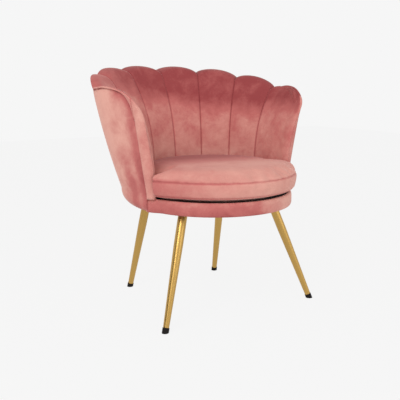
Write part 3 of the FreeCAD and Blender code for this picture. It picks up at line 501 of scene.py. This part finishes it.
def band_piece(name):
    """A superellipse section: cosine and sine to a power under 1, carried round the front."""
    angle = 180 + BAND_HALF * np.linspace(-1, 1, 150)
    turn = np.linspace(0, 2 * math.pi, 72, endpoint=False)[None, :]
    middle, half = (BAND_OUT + BAND_IN) / 2, (BAND_OUT - BAND_IN) / 2
    rise, half_rise = (BAND_TOP + BAND_BOTTOM) / 2, (BAND_TOP - BAND_BOTTOM) / 2
    across = np.sign(np.cos(turn)) * np.abs(np.cos(turn)) ** 0.75
    upward = np.sign(np.sin(turn)) * np.abs(np.sin(turn)) ** 0.55
    radius = middle + half * across + 0 * angle[:, None]
    height = rise + half_rise * upward + 0 * angle[:, None]
    radius = radius + END_FLARE * ease((np.abs(angle[:, None] - 180) - END_FROM) / END_OVER)
    points = in_place(radius, height, angle[:, None])
    points[..., 1] -= BASE_FORWARD
    # Painted light: the top of the band's section is lighter and its underside darker, and the band is
    # lighter towards the left arm.
    nap_and_light = 0.46 + 0.50 * ease((195 - angle[:, None]) / 45) + 0.12 * upward
    return ring_piece(name, points, {"nap_and_light": np.clip(nap_and_light, 0, 1), "seam": 0 * radius})


base_band = band_piece("velvet_base_band")
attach(base_band, "chair")
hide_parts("base_band")
print("base band with", len(base_band.data.polygons), "faces")

# %% [markdown]
# ## Seat cushion
# The loose cushion is a drum of foam in a velvet cover: a crowned top panel, a band between two sewn
# seams, and a bottom panel. Its outline is round in front, with a small ear before each arm front, and
# it is narrower where it sits between the petals. The plain form could stay as it is, but a short
# cloth simulation blows it up to the fullness of real upholstery. Both seams are sewn in after it,
# with a small unevenness in how deep they pull.

# %% Outline and plain form of the cushion
CUSHION_Y = AXIS_Y - 0.013
CUSHION_FRONT, CUSHION_REAR, EAR, SHOULDER_Y = 0.264, 0.235, 0.015, AXIS_Y - 0.0875
EAR_FROM, EAR_OVER, SHOULDER_OVER = 56, 20, 0.011
CUSHION_BOTTOM, LOW_SEAM, HIGH_SEAM, CUSHION_TOP = 0.3691, 0.386, 0.430, 0.461
# Shares of the reach where the top panel begins to bend down, at the high seam and at the low seam.
PANEL_SHARE, HIGH_SHARE, LOW_SHARE, SIDE_BOW, UNDER_PULL = 0.93, 0.988, 0.962, 0.010, 0.17
CROWN_DROP, CROWN_POWER = 0.42, 2.4


def cushion_reach(turn):
    """Distance from the cushion's centre to its edge: the front circle, eased into the rear one."""
    forward = -np.cos(turn)
    shift = CUSHION_Y - AXIS_Y
    rear = -shift * forward + np.sqrt((shift * forward) ** 2 - shift ** 2 + CUSHION_REAR ** 2)
    front = CUSHION_FRONT + EAR * ease((np.degrees(np.arccos(-forward)) - EAR_FROM) / EAR_OVER)
    behind = ease((CUSHION_Y + forward * front - SHOULDER_Y) / SHOULDER_OVER)
    return front + (rear - front) * behind


def cushion_profile(count):
    """Share of the reach and height, from the middle of the top, down the side, to the bottom."""
    top = np.linspace(0, 1, count)
    reach_top = PANEL_SHARE * top
    height_top = HIGH_SEAM + (CUSHION_TOP - HIGH_SEAM) * (1 - CROWN_DROP * top ** CROWN_POWER)
    bend = np.linspace(0, math.pi / 2, 14)[1:]
    reach_edge = PANEL_SHARE + (HIGH_SHARE - PANEL_SHARE) * np.sin(bend)
    height_edge = height_top[-1] + (HIGH_SEAM - height_top[-1]) * (1 - np.cos(bend))
    side = np.linspace(0, 1, 22)[1:]
    reach_side = HIGH_SHARE + SIDE_BOW * np.sin(math.pi * side) + (LOW_SHARE - HIGH_SHARE) * side
    height_side = HIGH_SEAM + (LOW_SEAM - HIGH_SEAM) * side
    under = np.linspace(0, math.pi / 2, 12)[1:]
    slope = 1 - np.cos(under)
    reach_under = LOW_SHARE - UNDER_PULL * np.sin(under) ** 2.2
    height_under = LOW_SEAM + (CUSHION_BOTTOM - LOW_SEAM) * (0.35 * np.sin(under) + 0.65 * slope)
    bottom = np.linspace(1, 0, 14)[1:]
    reach_bottom, height_bottom = reach_under[-1] * bottom, CUSHION_BOTTOM + 0 * bottom
    reach_all = np.concatenate([reach_top, reach_edge, reach_side, reach_under, reach_bottom])
    height_all = np.concatenate([height_top, height_edge, height_side, height_under, height_bottom])
    return reach_all, height_all


def cushion_piece(name):
    """Rings round the cushion's centre, closer together at the ears, with one point at each pole."""
    reach, height = cushion_profile(30)
    before_ear, ear = np.linspace(0, 68, 34)[:-1], np.linspace(68, 82, 22)[:-1]
    half_turn = np.concatenate([before_ear, ear, np.linspace(82, 180, 46)])
    turn = np.radians(np.concatenate([half_turn, 360 - half_turn[-2:0:-1]]))
    rings = reach[1:-1, None] * cushion_reach(turn)[None, :]
    x, y = rings * np.sin(turn), CUSHION_Y - rings * np.cos(turn)
    points = np.stack([x, y, height[1:-1, None] + 0 * x], axis=-1)
    rows, around = points.shape[:2]
    index = np.arange(rows * around).reshape(rows, around)
    quads = looped_quads(index)
    poles = np.array([[0, CUSHION_Y, height[0]], [0, CUSHION_Y, height[-1]]])
    top, bottom = rows * around, rows * around + 1
    following = np.roll(index, -1, 1)
    cap = np.stack([np.full(around, top), index[0], following[0]], axis=-1)
    floor_cap = np.stack([np.full(around, bottom), following[-1], index[-1]], axis=-1)
    flat = np.concatenate([points.reshape(-1, 3), poles])
    return mesh_from(name, flat, quads.tolist() + cap.tolist() + floor_cap.tolist())


cushion = cushion_piece("velvet_seat_cushion")
print("cushion with", len(cushion.data.polygons), "faces before it is blown up")

# %% Blow the cushion up and sew its seams


def points_of(thing):
    """The object's points as an array."""
    values = np.empty(len(thing.data.vertices) * 3, dtype=np.float32)
    thing.data.vertices.foreach_get("co", values)
    return values.reshape(-1, 3).astype(float)


def set_points(thing, points):
    """Move the object's points."""
    thing.data.vertices.foreach_set("co", points.astype(np.float32).ravel())
    thing.data.update()


def blow_up(thing, held, frames=16, cap=0.010):
    """Cloth with pressure and no gravity. The held points stay, and no point moves past the cap."""
    before = points_of(thing)
    group = thing.vertex_groups.new(name="held")
    group.add(np.flatnonzero(held).tolist(), 1.0, "REPLACE")
    cloth = thing.modifiers.new("inflate", "CLOTH")
    settings = cloth.settings
    settings.quality = 5
    settings.mass = 0.25
    settings.tension_stiffness = settings.compression_stiffness = 25
    settings.shear_stiffness, settings.bending_stiffness = 8, 0.6
    settings.use_pressure, settings.uniform_pressure_force = True, 4
    settings.shrink_min = -0.012
    settings.effector_weights.gravity = 0
    settings.vertex_group_mass = "held"
    cloth.collision_settings.use_collision = False
    cloth.point_cache.frame_start, cloth.point_cache.frame_end = 1, frames
    for step in range(1, frames + 1):
        scene.frame_set(step)
    evaluated = thing.evaluated_get(bpy.context.evaluated_depsgraph_get())
    after = np.array([vertex.co[:] for vertex in evaluated.data.vertices])
    thing.modifiers.remove(cloth)
    thing.vertex_groups.remove(group)
    scene.frame_set(1)
    move = after - before
    length = np.linalg.norm(move, axis=1, keepdims=True)
    move = move * np.minimum(1, cap / np.maximum(length, 1e-9))
    set_points(thing, before + move)
    return float(length.max())


def cushion_values(points):
    """Pile value with painted light, nearness to the seams and turn, for each point of the cushion."""
    x, y, z = points.T
    turn = np.arctan2(x, -(y - CUSHION_Y))
    share = np.hypot(x, y - CUSHION_Y) / cushion_reach(turn)
    top = ease((z - HIGH_SEAM - 0.004) / 0.008)
    outside = ease((share - 0.9) / 0.06)
    # Nearness to the two seams, which sets how deep they pull and also paints shade along them.
    seam = np.maximum(sewn(z - HIGH_SEAM, 0.0028), sewn(z - LOW_SEAM, 0.0024)) * outside
    # The pile's fields with painted light: the top darkens towards the rear, and top and side lighten
    # towards the left arm.
    rear = ease((1.03 * (y - CUSHION_Y) + 0.25 * x + 0.10) / 0.26)
    to_left_arm = ease((0.84 * x - 0.55 * (y - CUSHION_Y) + 0.20) / 0.36)
    top_nap_and_light = 0.70 + 0.14 * to_left_arm - 0.85 * rear
    side_nap_and_light = 0.50 + 0.40 * to_left_arm
    return side_nap_and_light + (top_nap_and_light - side_nap_and_light) * top, seam, turn


cushion_before = points_of(cushion)
from_centre = np.hypot(cushion_before[:, 0], cushion_before[:, 1] - CUSHION_Y)
pinned = cushion_before[:, 2] < LOW_SEAM + 0.001
for level in (HIGH_SEAM, LOW_SEAM):
    pinned |= (np.abs(cushion_before[:, 2] - level) < 0.0015) & (from_centre > 0.2)
moved = blow_up(cushion, pinned)
print("the cloth moved the cushion by up to", round(1000 * moved, 1), "mm")

blown = points_of(cushion)
blown[:, 2] = np.minimum(blown[:, 2], CUSHION_TOP + 0.004)
_, seam, turn = cushion_values(blown)
pull = (0.0030 + 0.0007 * np.sin(turn * 61) + 0.0006 * np.sin(turn * 97 + 1)) * seam
flat_way = np.stack([np.sin(turn), -np.cos(turn), 0 * turn], axis=1)
set_points(cushion, blown - flat_way * pull[:, None])
nap_and_light, seam, _ = cushion_values(points_of(cushion))
add_values(cushion.data, {"nap_and_light": nap_and_light, "seam": seam})
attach(cushion, "cushion")
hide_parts("seat_cushion")
print("cushion rides on its own body and has its two seams")

# %% [markdown]
# ## Deck and linings
# Under the cushion lies a thin round pad of foam with black lining cloth stretched over it, and a
# second lining closes the underside of the base. They are seen only as a dark line in the gap under
# the cushion, or from below. Each is a flat closed disc that follows its own outline.

# %% Deck pad and linings
LAYER_TURNS, LAYER_RINGS = 240, 12


def outline_reach(node):
    """Radius against angle of a flat node's outline about the tub's axis, from its own points."""
    points = points_of(nodes[node])
    x, y = points[:, 0], points[:, 1] - AXIS_Y
    far = np.hypot(x, y)
    turn = np.arctan2(x, y)
    edge = far > 0.2
    order = np.argsort(turn[edge])
    return turn[edge][order], far[edge][order]


def flat_layer(name, node, round_edge):
    """Concentric rings of the node's outline, top and bottom, with rounded edges. With it go the
    outline's area, from its triangles about the axis, and the node's width and depth."""
    low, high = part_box(node)
    known_turn, known_far = outline_reach(node)
    turn = np.linspace(-math.pi, math.pi, LAYER_TURNS, endpoint=False)
    reach = np.interp(turn, known_turn, known_far, period=2 * math.pi)
    growing = np.linspace(0.02, 1, LAYER_RINGS)
    share = np.concatenate([growing, np.ones(3), growing[::-1]])
    inset = np.zeros(len(share))
    inset[[LAYER_RINGS - 1, LAYER_RINGS + 3]] = round_edge
    half = (high.z - low.z) / 2
    edge = low.z + half + half * np.array([0.6, 0, -0.6])
    height = np.concatenate([np.full(LAYER_RINGS, high.z), edge, np.full(LAYER_RINGS, low.z)])
    far = share[:, None] * (reach[None, :] - inset[:, None])
    points = np.stack([far * np.sin(turn), AXIS_Y + far * np.cos(turn), height[:, None] + 0 * far], axis=-1)
    area = float(np.sum(reach * np.roll(reach, -1) * math.sin(2 * math.pi / LAYER_TURNS)) / 2)
    side_by_side = (float(high.x - low.x), float(high.y - low.y))
    return ring_piece(name, points), area, side_by_side


deck_pad, _, _ = flat_layer("foam_deck_pad", "deck_pad", 0.003)
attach(deck_pad, "chair")
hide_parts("deck_pad")
linings = []
for name, node, board in (("cloth_deck_lining", "deck_lining", "foam_deck_pad"),
                          ("cloth_under_lining", "under_lining", "seat_board")):
    cloth, area, flat_size = flat_layer(name, node, 0.0002)
    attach(cloth, "chair")
    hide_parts(node)
    linings.append(cloth)
    print(name, "flat size", [round(value, 4) for value in flat_size], "area", round(area, 4))

# %% [markdown]
# ## Velvet
# Velvet is a dense short pile. Pile that leans away from the eye shows its dark roots, and pile that
# leans towards it shines. A picture of velvet would not fit the form, so a node group mixes three
# tones by the nap_and_light value, which also carries painted light and shade, and by cloudy noise. The
# seam value takes off painted shade along the creases, and the shader's own sheen gives the bright edges.

# %% Node helpers and the velvet group


def new_group(name, inputs, outputs):
    """A shader node group with named sockets, each given as a name, a kind and a value."""
    group = bpy.data.node_groups.new(name, "ShaderNodeTree")
    for label, kind, value in inputs:
        socket = group.interface.new_socket(name=label, in_out="INPUT", socket_type=kind)
        socket.default_value = value
    for label, kind in outputs:
        group.interface.new_socket(name=label, in_out="OUTPUT", socket_type=kind)
    return group, group.nodes.new("NodeGroupInput"), group.nodes.new("NodeGroupOutput")


def math_node(tree, operation, first, second, clamp=False):
    """A Math node whose two inputs are numbers or other nodes' outputs."""
    node = tree.nodes.new("ShaderNodeMath")
    node.operation, node.use_clamp = operation, clamp
    for socket, value in zip(node.inputs, (first, second)):
        if isinstance(value, (int, float)):
            socket.default_value = value
        else:
            tree.links.new(value, socket)
    return node.outputs[0]


def noise_node(tree, place, scale, detail=3.0, roughness=0.5, distortion=0.0):
    """Noise of a number of features to the metre, at a place."""
    node = tree.nodes.new("ShaderNodeTexNoise")
    node.inputs["Scale"].default_value = scale
    node.inputs["Detail"].default_value = detail
    node.inputs["Roughness"].default_value = roughness
    node.inputs["Distortion"].default_value = distortion
    tree.links.new(place, node.inputs["Vector"])
    return node.outputs["Fac"]


def colour_mix(tree, factor, first, second):
    """Mix two colours by a factor."""
    node = tree.nodes.new("ShaderNodeMix")
    node.data_type = "RGBA"
    tree.links.new(factor, node.inputs[0])
    for socket, value in ((node.inputs[6], first), (node.inputs[7], second)):
        if isinstance(value, tuple):
            socket.default_value = value
        else:
            tree.links.new(value, socket)
    return node.outputs[2]


def object_place(tree):
    """Coordinates in metres that stay with the object."""
    return tree.nodes.new("ShaderNodeTexCoord").outputs["Object"]


# The light tone stands for lit velvet with its sheen and the dark one for pile in shade, so the mix paints
# light and shade as well as the pile's tone.
VELVET_DARK = (0.300, 0.058, 0.060, 1.0)
VELVET_MID = (0.500, 0.150, 0.138, 1.0)
VELVET_LIGHT = (0.720, 0.375, 0.310, 1.0)
pile, pile_in, pile_out = new_group(
    "pile",
    [("Place", "NodeSocketVector", (0, 0, 0)), ("Nap and light", "NodeSocketFloat", 0.5),
     ("Seam", "NodeSocketFloat", 0.0), ("Cloud size", "NodeSocketFloat", 17.0),
     ("Cloud strength", "NodeSocketFloat", 0.9)],
    [("Colour", "NodeSocketColor"), ("Roughness", "NodeSocketFloat"), ("Height", "NodeSocketFloat")])
cloud = pile.nodes.new("ShaderNodeTexNoise")
cloud.inputs["Detail"].default_value = 5.0
cloud.inputs["Roughness"].default_value = 0.68
cloud.inputs["Distortion"].default_value = 0.25
pile.links.new(pile_in.outputs["Place"], cloud.inputs["Vector"])
pile.links.new(pile_in.outputs["Cloud size"], cloud.inputs["Scale"])
off_middle = math_node(pile, "SUBTRACT", cloud.outputs["Fac"], 0.5)
cloudy = math_node(pile, "MULTIPLY", off_middle, pile_in.outputs["Cloud strength"])
speckle = noise_node(pile, pile_in.outputs["Place"], 420.0, 2.0)
fine = math_node(pile, "MULTIPLY", math_node(pile, "SUBTRACT", speckle, 0.5), 0.16)
tone = math_node(pile, "ADD", math_node(pile, "ADD", pile_in.outputs["Nap and light"], cloudy), fine)
# Painted shade: the seam value darkens the creases along the seams and under the rolls.
seam_shade = math_node(pile, "MULTIPLY", pile_in.outputs["Seam"], 0.30)
tone = math_node(pile, "SUBTRACT", tone, seam_shade, clamp=True)
lower = colour_mix(pile, math_node(pile, "MULTIPLY", tone, 2.0, clamp=True), VELVET_DARK, VELVET_MID)
upper_share = math_node(pile, "MULTIPLY", math_node(pile, "SUBTRACT", tone, 0.5), 2.0, clamp=True)
pile.links.new(colour_mix(pile, upper_share, lower, VELVET_LIGHT), pile_out.inputs["Colour"])
rough = math_node(pile, "ADD", 0.78, math_node(pile, "MULTIPLY", speckle, 0.14))
pile.links.new(rough, pile_out.inputs["Roughness"])
tufts = noise_node(pile, pile_in.outputs["Place"], 900.0, 2.0)
rub = noise_node(pile, pile_in.outputs["Place"], 55.0, 3.0, 0.55, 0.6)
bumps = math_node(pile, "ADD", math_node(pile, "MULTIPLY", tufts, 0.25), rub)
pile.links.new(bumps, pile_out.inputs["Height"])


def attribute_value(tree, name):
    """A piece's own value for each point, by its name."""
    node = tree.nodes.new("ShaderNodeAttribute")
    node.attribute_name = name
    return node.outputs["Fac"]


def new_material(name):
    """An empty material with its output and a Principled shader."""
    material = bpy.data.materials.new(name)
    material.use_nodes = True
    return material, material.node_tree, material.node_tree.nodes["Principled BSDF"]


def velvet_material(name, cloud_size, cloud_strength):
    """Velvet: the pile group, a soft bump and sheen."""
    material, tree, shader = new_material(name)
    group = tree.nodes.new("ShaderNodeGroup")
    group.node_tree = pile
    tree.links.new(object_place(tree), group.inputs["Place"])
    tree.links.new(attribute_value(tree, "nap_and_light"), group.inputs["Nap and light"])
    tree.links.new(attribute_value(tree, "seam"), group.inputs["Seam"])
    group.inputs["Cloud size"].default_value = cloud_size
    group.inputs["Cloud strength"].default_value = cloud_strength
    tree.links.new(group.outputs["Colour"], shader.inputs["Base Color"])
    tree.links.new(group.outputs["Roughness"], shader.inputs["Roughness"])
    bump = tree.nodes.new("ShaderNodeBump")
    bump.inputs["Strength"].default_value = 0.30
    bump.inputs["Distance"].default_value = 0.0015
    tree.links.new(group.outputs["Height"], bump.inputs["Height"])
    tree.links.new(bump.outputs["Normal"], shader.inputs["Normal"])
    shader.inputs["Specular IOR Level"].default_value = 0.12
    shader.inputs["Sheen Weight"].default_value = 0.35
    shader.inputs["Sheen Roughness"].default_value = 0.35
    shader.inputs["Sheen Tint"].default_value = (1.0, 0.78, 0.72, 1.0)
    return material


velvet = velvet_material("velvet", 17.0, 0.9)
calm_velvet = velvet_material("velvet_cushion", 13.0, 0.5)
for thing in [piece for piece, node in petals] + [outer_cover, base_band]:
    thing.data.materials.append(velvet)
cushion.data.materials.append(calm_velvet)
print("velvet on", len(petals) + 3, "pieces")

# %% [markdown]
# ## Metals, black parts and the hidden frame
# The legs are steel tube with a satin brass-coloured plating. Drawn tube keeps very fine lines along
# its length, so a long thin noise changes the roughness. A second group gives every hard material
# small real-scale wear. The frame inside is raw plywood, fibreboard and zinc, seen only when the
# chair is taken apart.

# %% Wear group and the hard materials
wear, wear_in, wear_out = new_group(
    "wear",
    [("Place", "NodeSocketVector", (0, 0, 0)), ("Colour", "NodeSocketColor", (0.5, 0.5, 0.5, 1)),
     ("Other colour", "NodeSocketColor", (0.4, 0.4, 0.4, 1)), ("Roughness", "NodeSocketFloat", 0.5),
     ("Fine scale", "NodeSocketFloat", 300.0)],
    [("Colour", "NodeSocketColor"), ("Roughness", "NodeSocketFloat"), ("Height", "NodeSocketFloat")])
broad = noise_node(wear, wear_in.outputs["Place"], 30.0, 3.0)
grain = wear.nodes.new("ShaderNodeTexNoise")
grain.inputs["Detail"].default_value = 2.0
wear.links.new(wear_in.outputs["Place"], grain.inputs["Vector"])
wear.links.new(wear_in.outputs["Fine scale"], grain.inputs["Scale"])
half_broad = math_node(wear, "MULTIPLY", broad, 0.5)
blend = math_node(wear, "ADD", half_broad, math_node(wear, "MULTIPLY", grain.outputs["Fac"], 0.5))
toned = colour_mix(wear, blend, wear_in.outputs["Colour"], wear_in.outputs["Other colour"])
wear.links.new(toned, wear_out.inputs["Colour"])
shift = math_node(wear, "MULTIPLY", math_node(wear, "SUBTRACT", blend, 0.5), 0.25)
worn = math_node(wear, "ADD", wear_in.outputs["Roughness"], shift, clamp=True)
wear.links.new(worn, wear_out.inputs["Roughness"])
wear.links.new(grain.outputs["Fac"], wear_out.inputs["Height"])


def hard_material(name, colour, other, roughness, metallic=0.0, scale=300.0, stretch=(1, 1, 1),
                  bump_height=0.0002, shine=0.5):
    """A material from the wear group, its pattern drawn out along one axis by stretch."""
    material, tree, shader = new_material(name)
    group = tree.nodes.new("ShaderNodeGroup")
    group.node_tree = wear
    mapping = tree.nodes.new("ShaderNodeMapping")
    mapping.inputs["Scale"].default_value = stretch
    tree.links.new(object_place(tree), mapping.inputs["Vector"])
    tree.links.new(mapping.outputs["Vector"], group.inputs["Place"])
    group.inputs["Colour"].default_value = (*colour, 1)
    group.inputs["Other colour"].default_value = (*other, 1)
    group.inputs["Roughness"].default_value = roughness
    group.inputs["Fine scale"].default_value = scale
    tree.links.new(group.outputs["Colour"], shader.inputs["Base Color"])
    tree.links.new(group.outputs["Roughness"], shader.inputs["Roughness"])
    bump = tree.nodes.new("ShaderNodeBump")
    bump.inputs["Strength"].default_value = 0.25
    bump.inputs["Distance"].default_value = bump_height
    tree.links.new(group.outputs["Height"], bump.inputs["Height"])
    tree.links.new(bump.outputs["Normal"], shader.inputs["Normal"])
    shader.inputs["Metallic"].default_value = metallic
    shader.inputs["Specular IOR Level"].default_value = shine
    return material


brass = hard_material("satin_brass", (0.55, 0.345, 0.105), (0.50, 0.305, 0.088), 0.36, 1.0, 900.0,
                      (1, 1, 0.05), 0.0)
black_plastic = hard_material("black_plastic", (0.008, 0.006, 0.006), (0.014, 0.011, 0.010), 0.6, 0.0,
                              700.0, shine=0.12)
black_steel = hard_material("black_steel", (0.035, 0.035, 0.037), (0.055, 0.055, 0.058), 0.42, 0.6, 500.0)
zinc = hard_material("zinc_steel", (0.60, 0.60, 0.60), (0.50, 0.51, 0.53), 0.38, 1.0, 200.0)
fibreboard = hard_material("fibreboard", (0.42, 0.30, 0.20), (0.33, 0.23, 0.15), 0.85, 0.0, 900.0)
plywood = hard_material("plywood", (0.66, 0.52, 0.36), (0.56, 0.41, 0.26), 0.7, 0.0, 90.0, (1, 6, 40))
lining_cloth = hard_material("black_lining", (0.018, 0.018, 0.018), (0.035, 0.034, 0.034), 0.95, 0.0, 1400.0)
foam = hard_material("foam", (0.78, 0.74, 0.60), (0.70, 0.65, 0.50), 0.95, 0.0, 800.0, bump_height=0.0006)
finishes = {"brass": brass, "black_plastic": black_plastic, "black_steel": black_steel, "zinc_steel": zinc,
            "fibreboard": fibreboard, "plywood": plywood}
for part in frame["record"]["subparts"]:
    finish = finishes.get(part["material_slot"])
    if finish:
        data = nodes[part["node"]].data
        data.materials.clear()
        data.materials.append(finish)
deck_pad.data.materials.append(foam)
for cloth in linings:
    cloth.data.materials.append(lining_cloth)
print(len(finishes), "hard materials placed by the record's slots")

# %% [markdown]
# ## Floor, light and camera
# The chair was photographed on a plain pale ground with soft light from the upper left. One large
# soft lamp stands at the left, a weaker one fills the right, and a pale world lights the rest. The
# ground's and the world's own colour are shown to the camera, so no light is added to whiten them. A
# dark flag at the left is seen only in reflections, where it darkens one side of a round leg.

# %% Floor
GROUND = 0.922
FLOOR_HALF = 6.0
corners = FLOOR_HALF * np.array([[-1, -1, 0], [1, -1, 0], [1, 1, 0], [-1, 1, 0]])
floor = mesh_from("floor", corners, [[0, 1, 2, 3]])
ground, ground_tree, ground_shader = new_material("ground")
ground_shader.inputs["Base Color"].default_value = (0.9, 0.9, 0.9, 1)
ground_shader.inputs["Roughness"].default_value = 0.9
ground_shader.inputs["Specular IOR Level"].default_value = 0.0
glow = ground_tree.nodes.new("ShaderNodeEmission")
glow.inputs["Color"].default_value = (GROUND, GROUND, GROUND, 1)
seen = ground_tree.nodes.new("ShaderNodeLightPath")
mixed = ground_tree.nodes.new("ShaderNodeMixShader")
direct = math_node(ground_tree, "MAXIMUM", seen.outputs["Is Camera Ray"], seen.outputs["Is Glossy Ray"])
ground_tree.links.new(math_node(ground_tree, "MULTIPLY", direct, 0.96), mixed.inputs[0])
ground_tree.links.new(ground_shader.outputs[0], mixed.inputs[1])
ground_tree.links.new(glow.outputs[0], mixed.inputs[2])
ground_tree.links.new(mixed.outputs[0], ground_tree.nodes["Material Output"].inputs["Surface"])
floor.data.materials.append(ground)

# %% World and lamps
world = bpy.data.worlds.new("studio")
scene.world = world
world.use_nodes = True
world_tree = world.node_tree
background = world_tree.nodes["Background"]
background.inputs["Color"].default_value = (1.0, 0.985, 0.97, 1)
background.inputs["Strength"].default_value = 0.62
plain = world_tree.nodes.new("ShaderNodeBackground")
plain.inputs["Color"].default_value = (GROUND, GROUND, GROUND, 1)
path = world_tree.nodes.new("ShaderNodeLightPath")
world_mix = world_tree.nodes.new("ShaderNodeMixShader")
straight = math_node(world_tree, "MAXIMUM", path.outputs["Is Camera Ray"], path.outputs["Is Glossy Ray"])
world_tree.links.new(straight, world_mix.inputs[0])
world_tree.links.new(background.outputs[0], world_mix.inputs[1])
world_tree.links.new(plain.outputs[0], world_mix.inputs[2])
world_tree.links.new(world_mix.outputs[0], world_tree.nodes["World Output"].inputs["Surface"])


def lamp(name, place, aim, width, power):
    """A square area lamp that looks at a point."""
    data = bpy.data.lights.new(name, "AREA")
    data.shape, data.size, data.energy = "SQUARE", width, power
    thing = bpy.data.objects.new(name, data)
    scene.collection.objects.link(thing)
    thing.location = place
    way = np.array(aim) - np.array(place)
    flat = math.hypot(way[0], way[1])
    thing.rotation_euler = (math.atan2(flat, -way[2]), 0, math.atan2(-way[0], way[1]))


FLAG_X, FLAG_FRONT, FLAG_REAR, FLAG_TOP = -1.9, -0.85, 0.35, 1.3
flag_points = np.array([[FLAG_X, FLAG_FRONT, 0.0], [FLAG_X, FLAG_REAR, 0.0],
                        [FLAG_X, FLAG_REAR, FLAG_TOP], [FLAG_X, FLAG_FRONT, FLAG_TOP]])
flag = mesh_from("dark_flag", flag_points, [[0, 1, 2, 3]])
flag_cloth, _, flag_shader = new_material("flag_cloth")
flag_shader.inputs["Base Color"].default_value = (0.02, 0.02, 0.02, 1)
flag_shader.inputs["Specular IOR Level"].default_value = 0.0
flag.data.materials.append(flag_cloth)
flag.visible_camera = flag.visible_diffuse = flag.visible_shadow = False
lamp("key", (-2.3, -1.5, 2.4), (0, 0, 0.45), 1.6, 52)
lamp("fill", (1.2, -2.6, 1.5), (0, 0, 0.45), 2.0, 18)
print("two soft lamps and a pale world")

# %% [markdown]
# The camera's place, its tilt and its lens were worked out from the four feet, the cushion's seam and
# the base's edge. It stands in front of the chair, to the right of a sitter, and looks a little down.

# %% Camera
camera_data = bpy.data.cameras.new("camera")
camera = bpy.data.objects.new("camera", camera_data)
scene.collection.objects.link(camera)
CAMERA_TURN, CAMERA_TILT = math.radians(-33.129), math.radians(9.480)
CAMERA_AWAY, LOOK_AT = 2.0249, 0.38
flat_away = CAMERA_AWAY * math.cos(CAMERA_TILT)
camera.location = (flat_away * math.sin(CAMERA_TURN), AXIS_Y - flat_away * math.cos(CAMERA_TURN),
                   LOOK_AT + CAMERA_AWAY * math.sin(CAMERA_TILT))
camera.rotation_euler = (math.pi / 2 - CAMERA_TILT, 0, CAMERA_TURN)
camera_data.sensor_width, camera_data.lens = 36.0, 56.04
camera_data.shift_x, camera_data.shift_y = -0.0314, -0.0348
camera_data.clip_start = 0.05
scene.camera = camera
scene.view_settings.view_transform = "Standard"
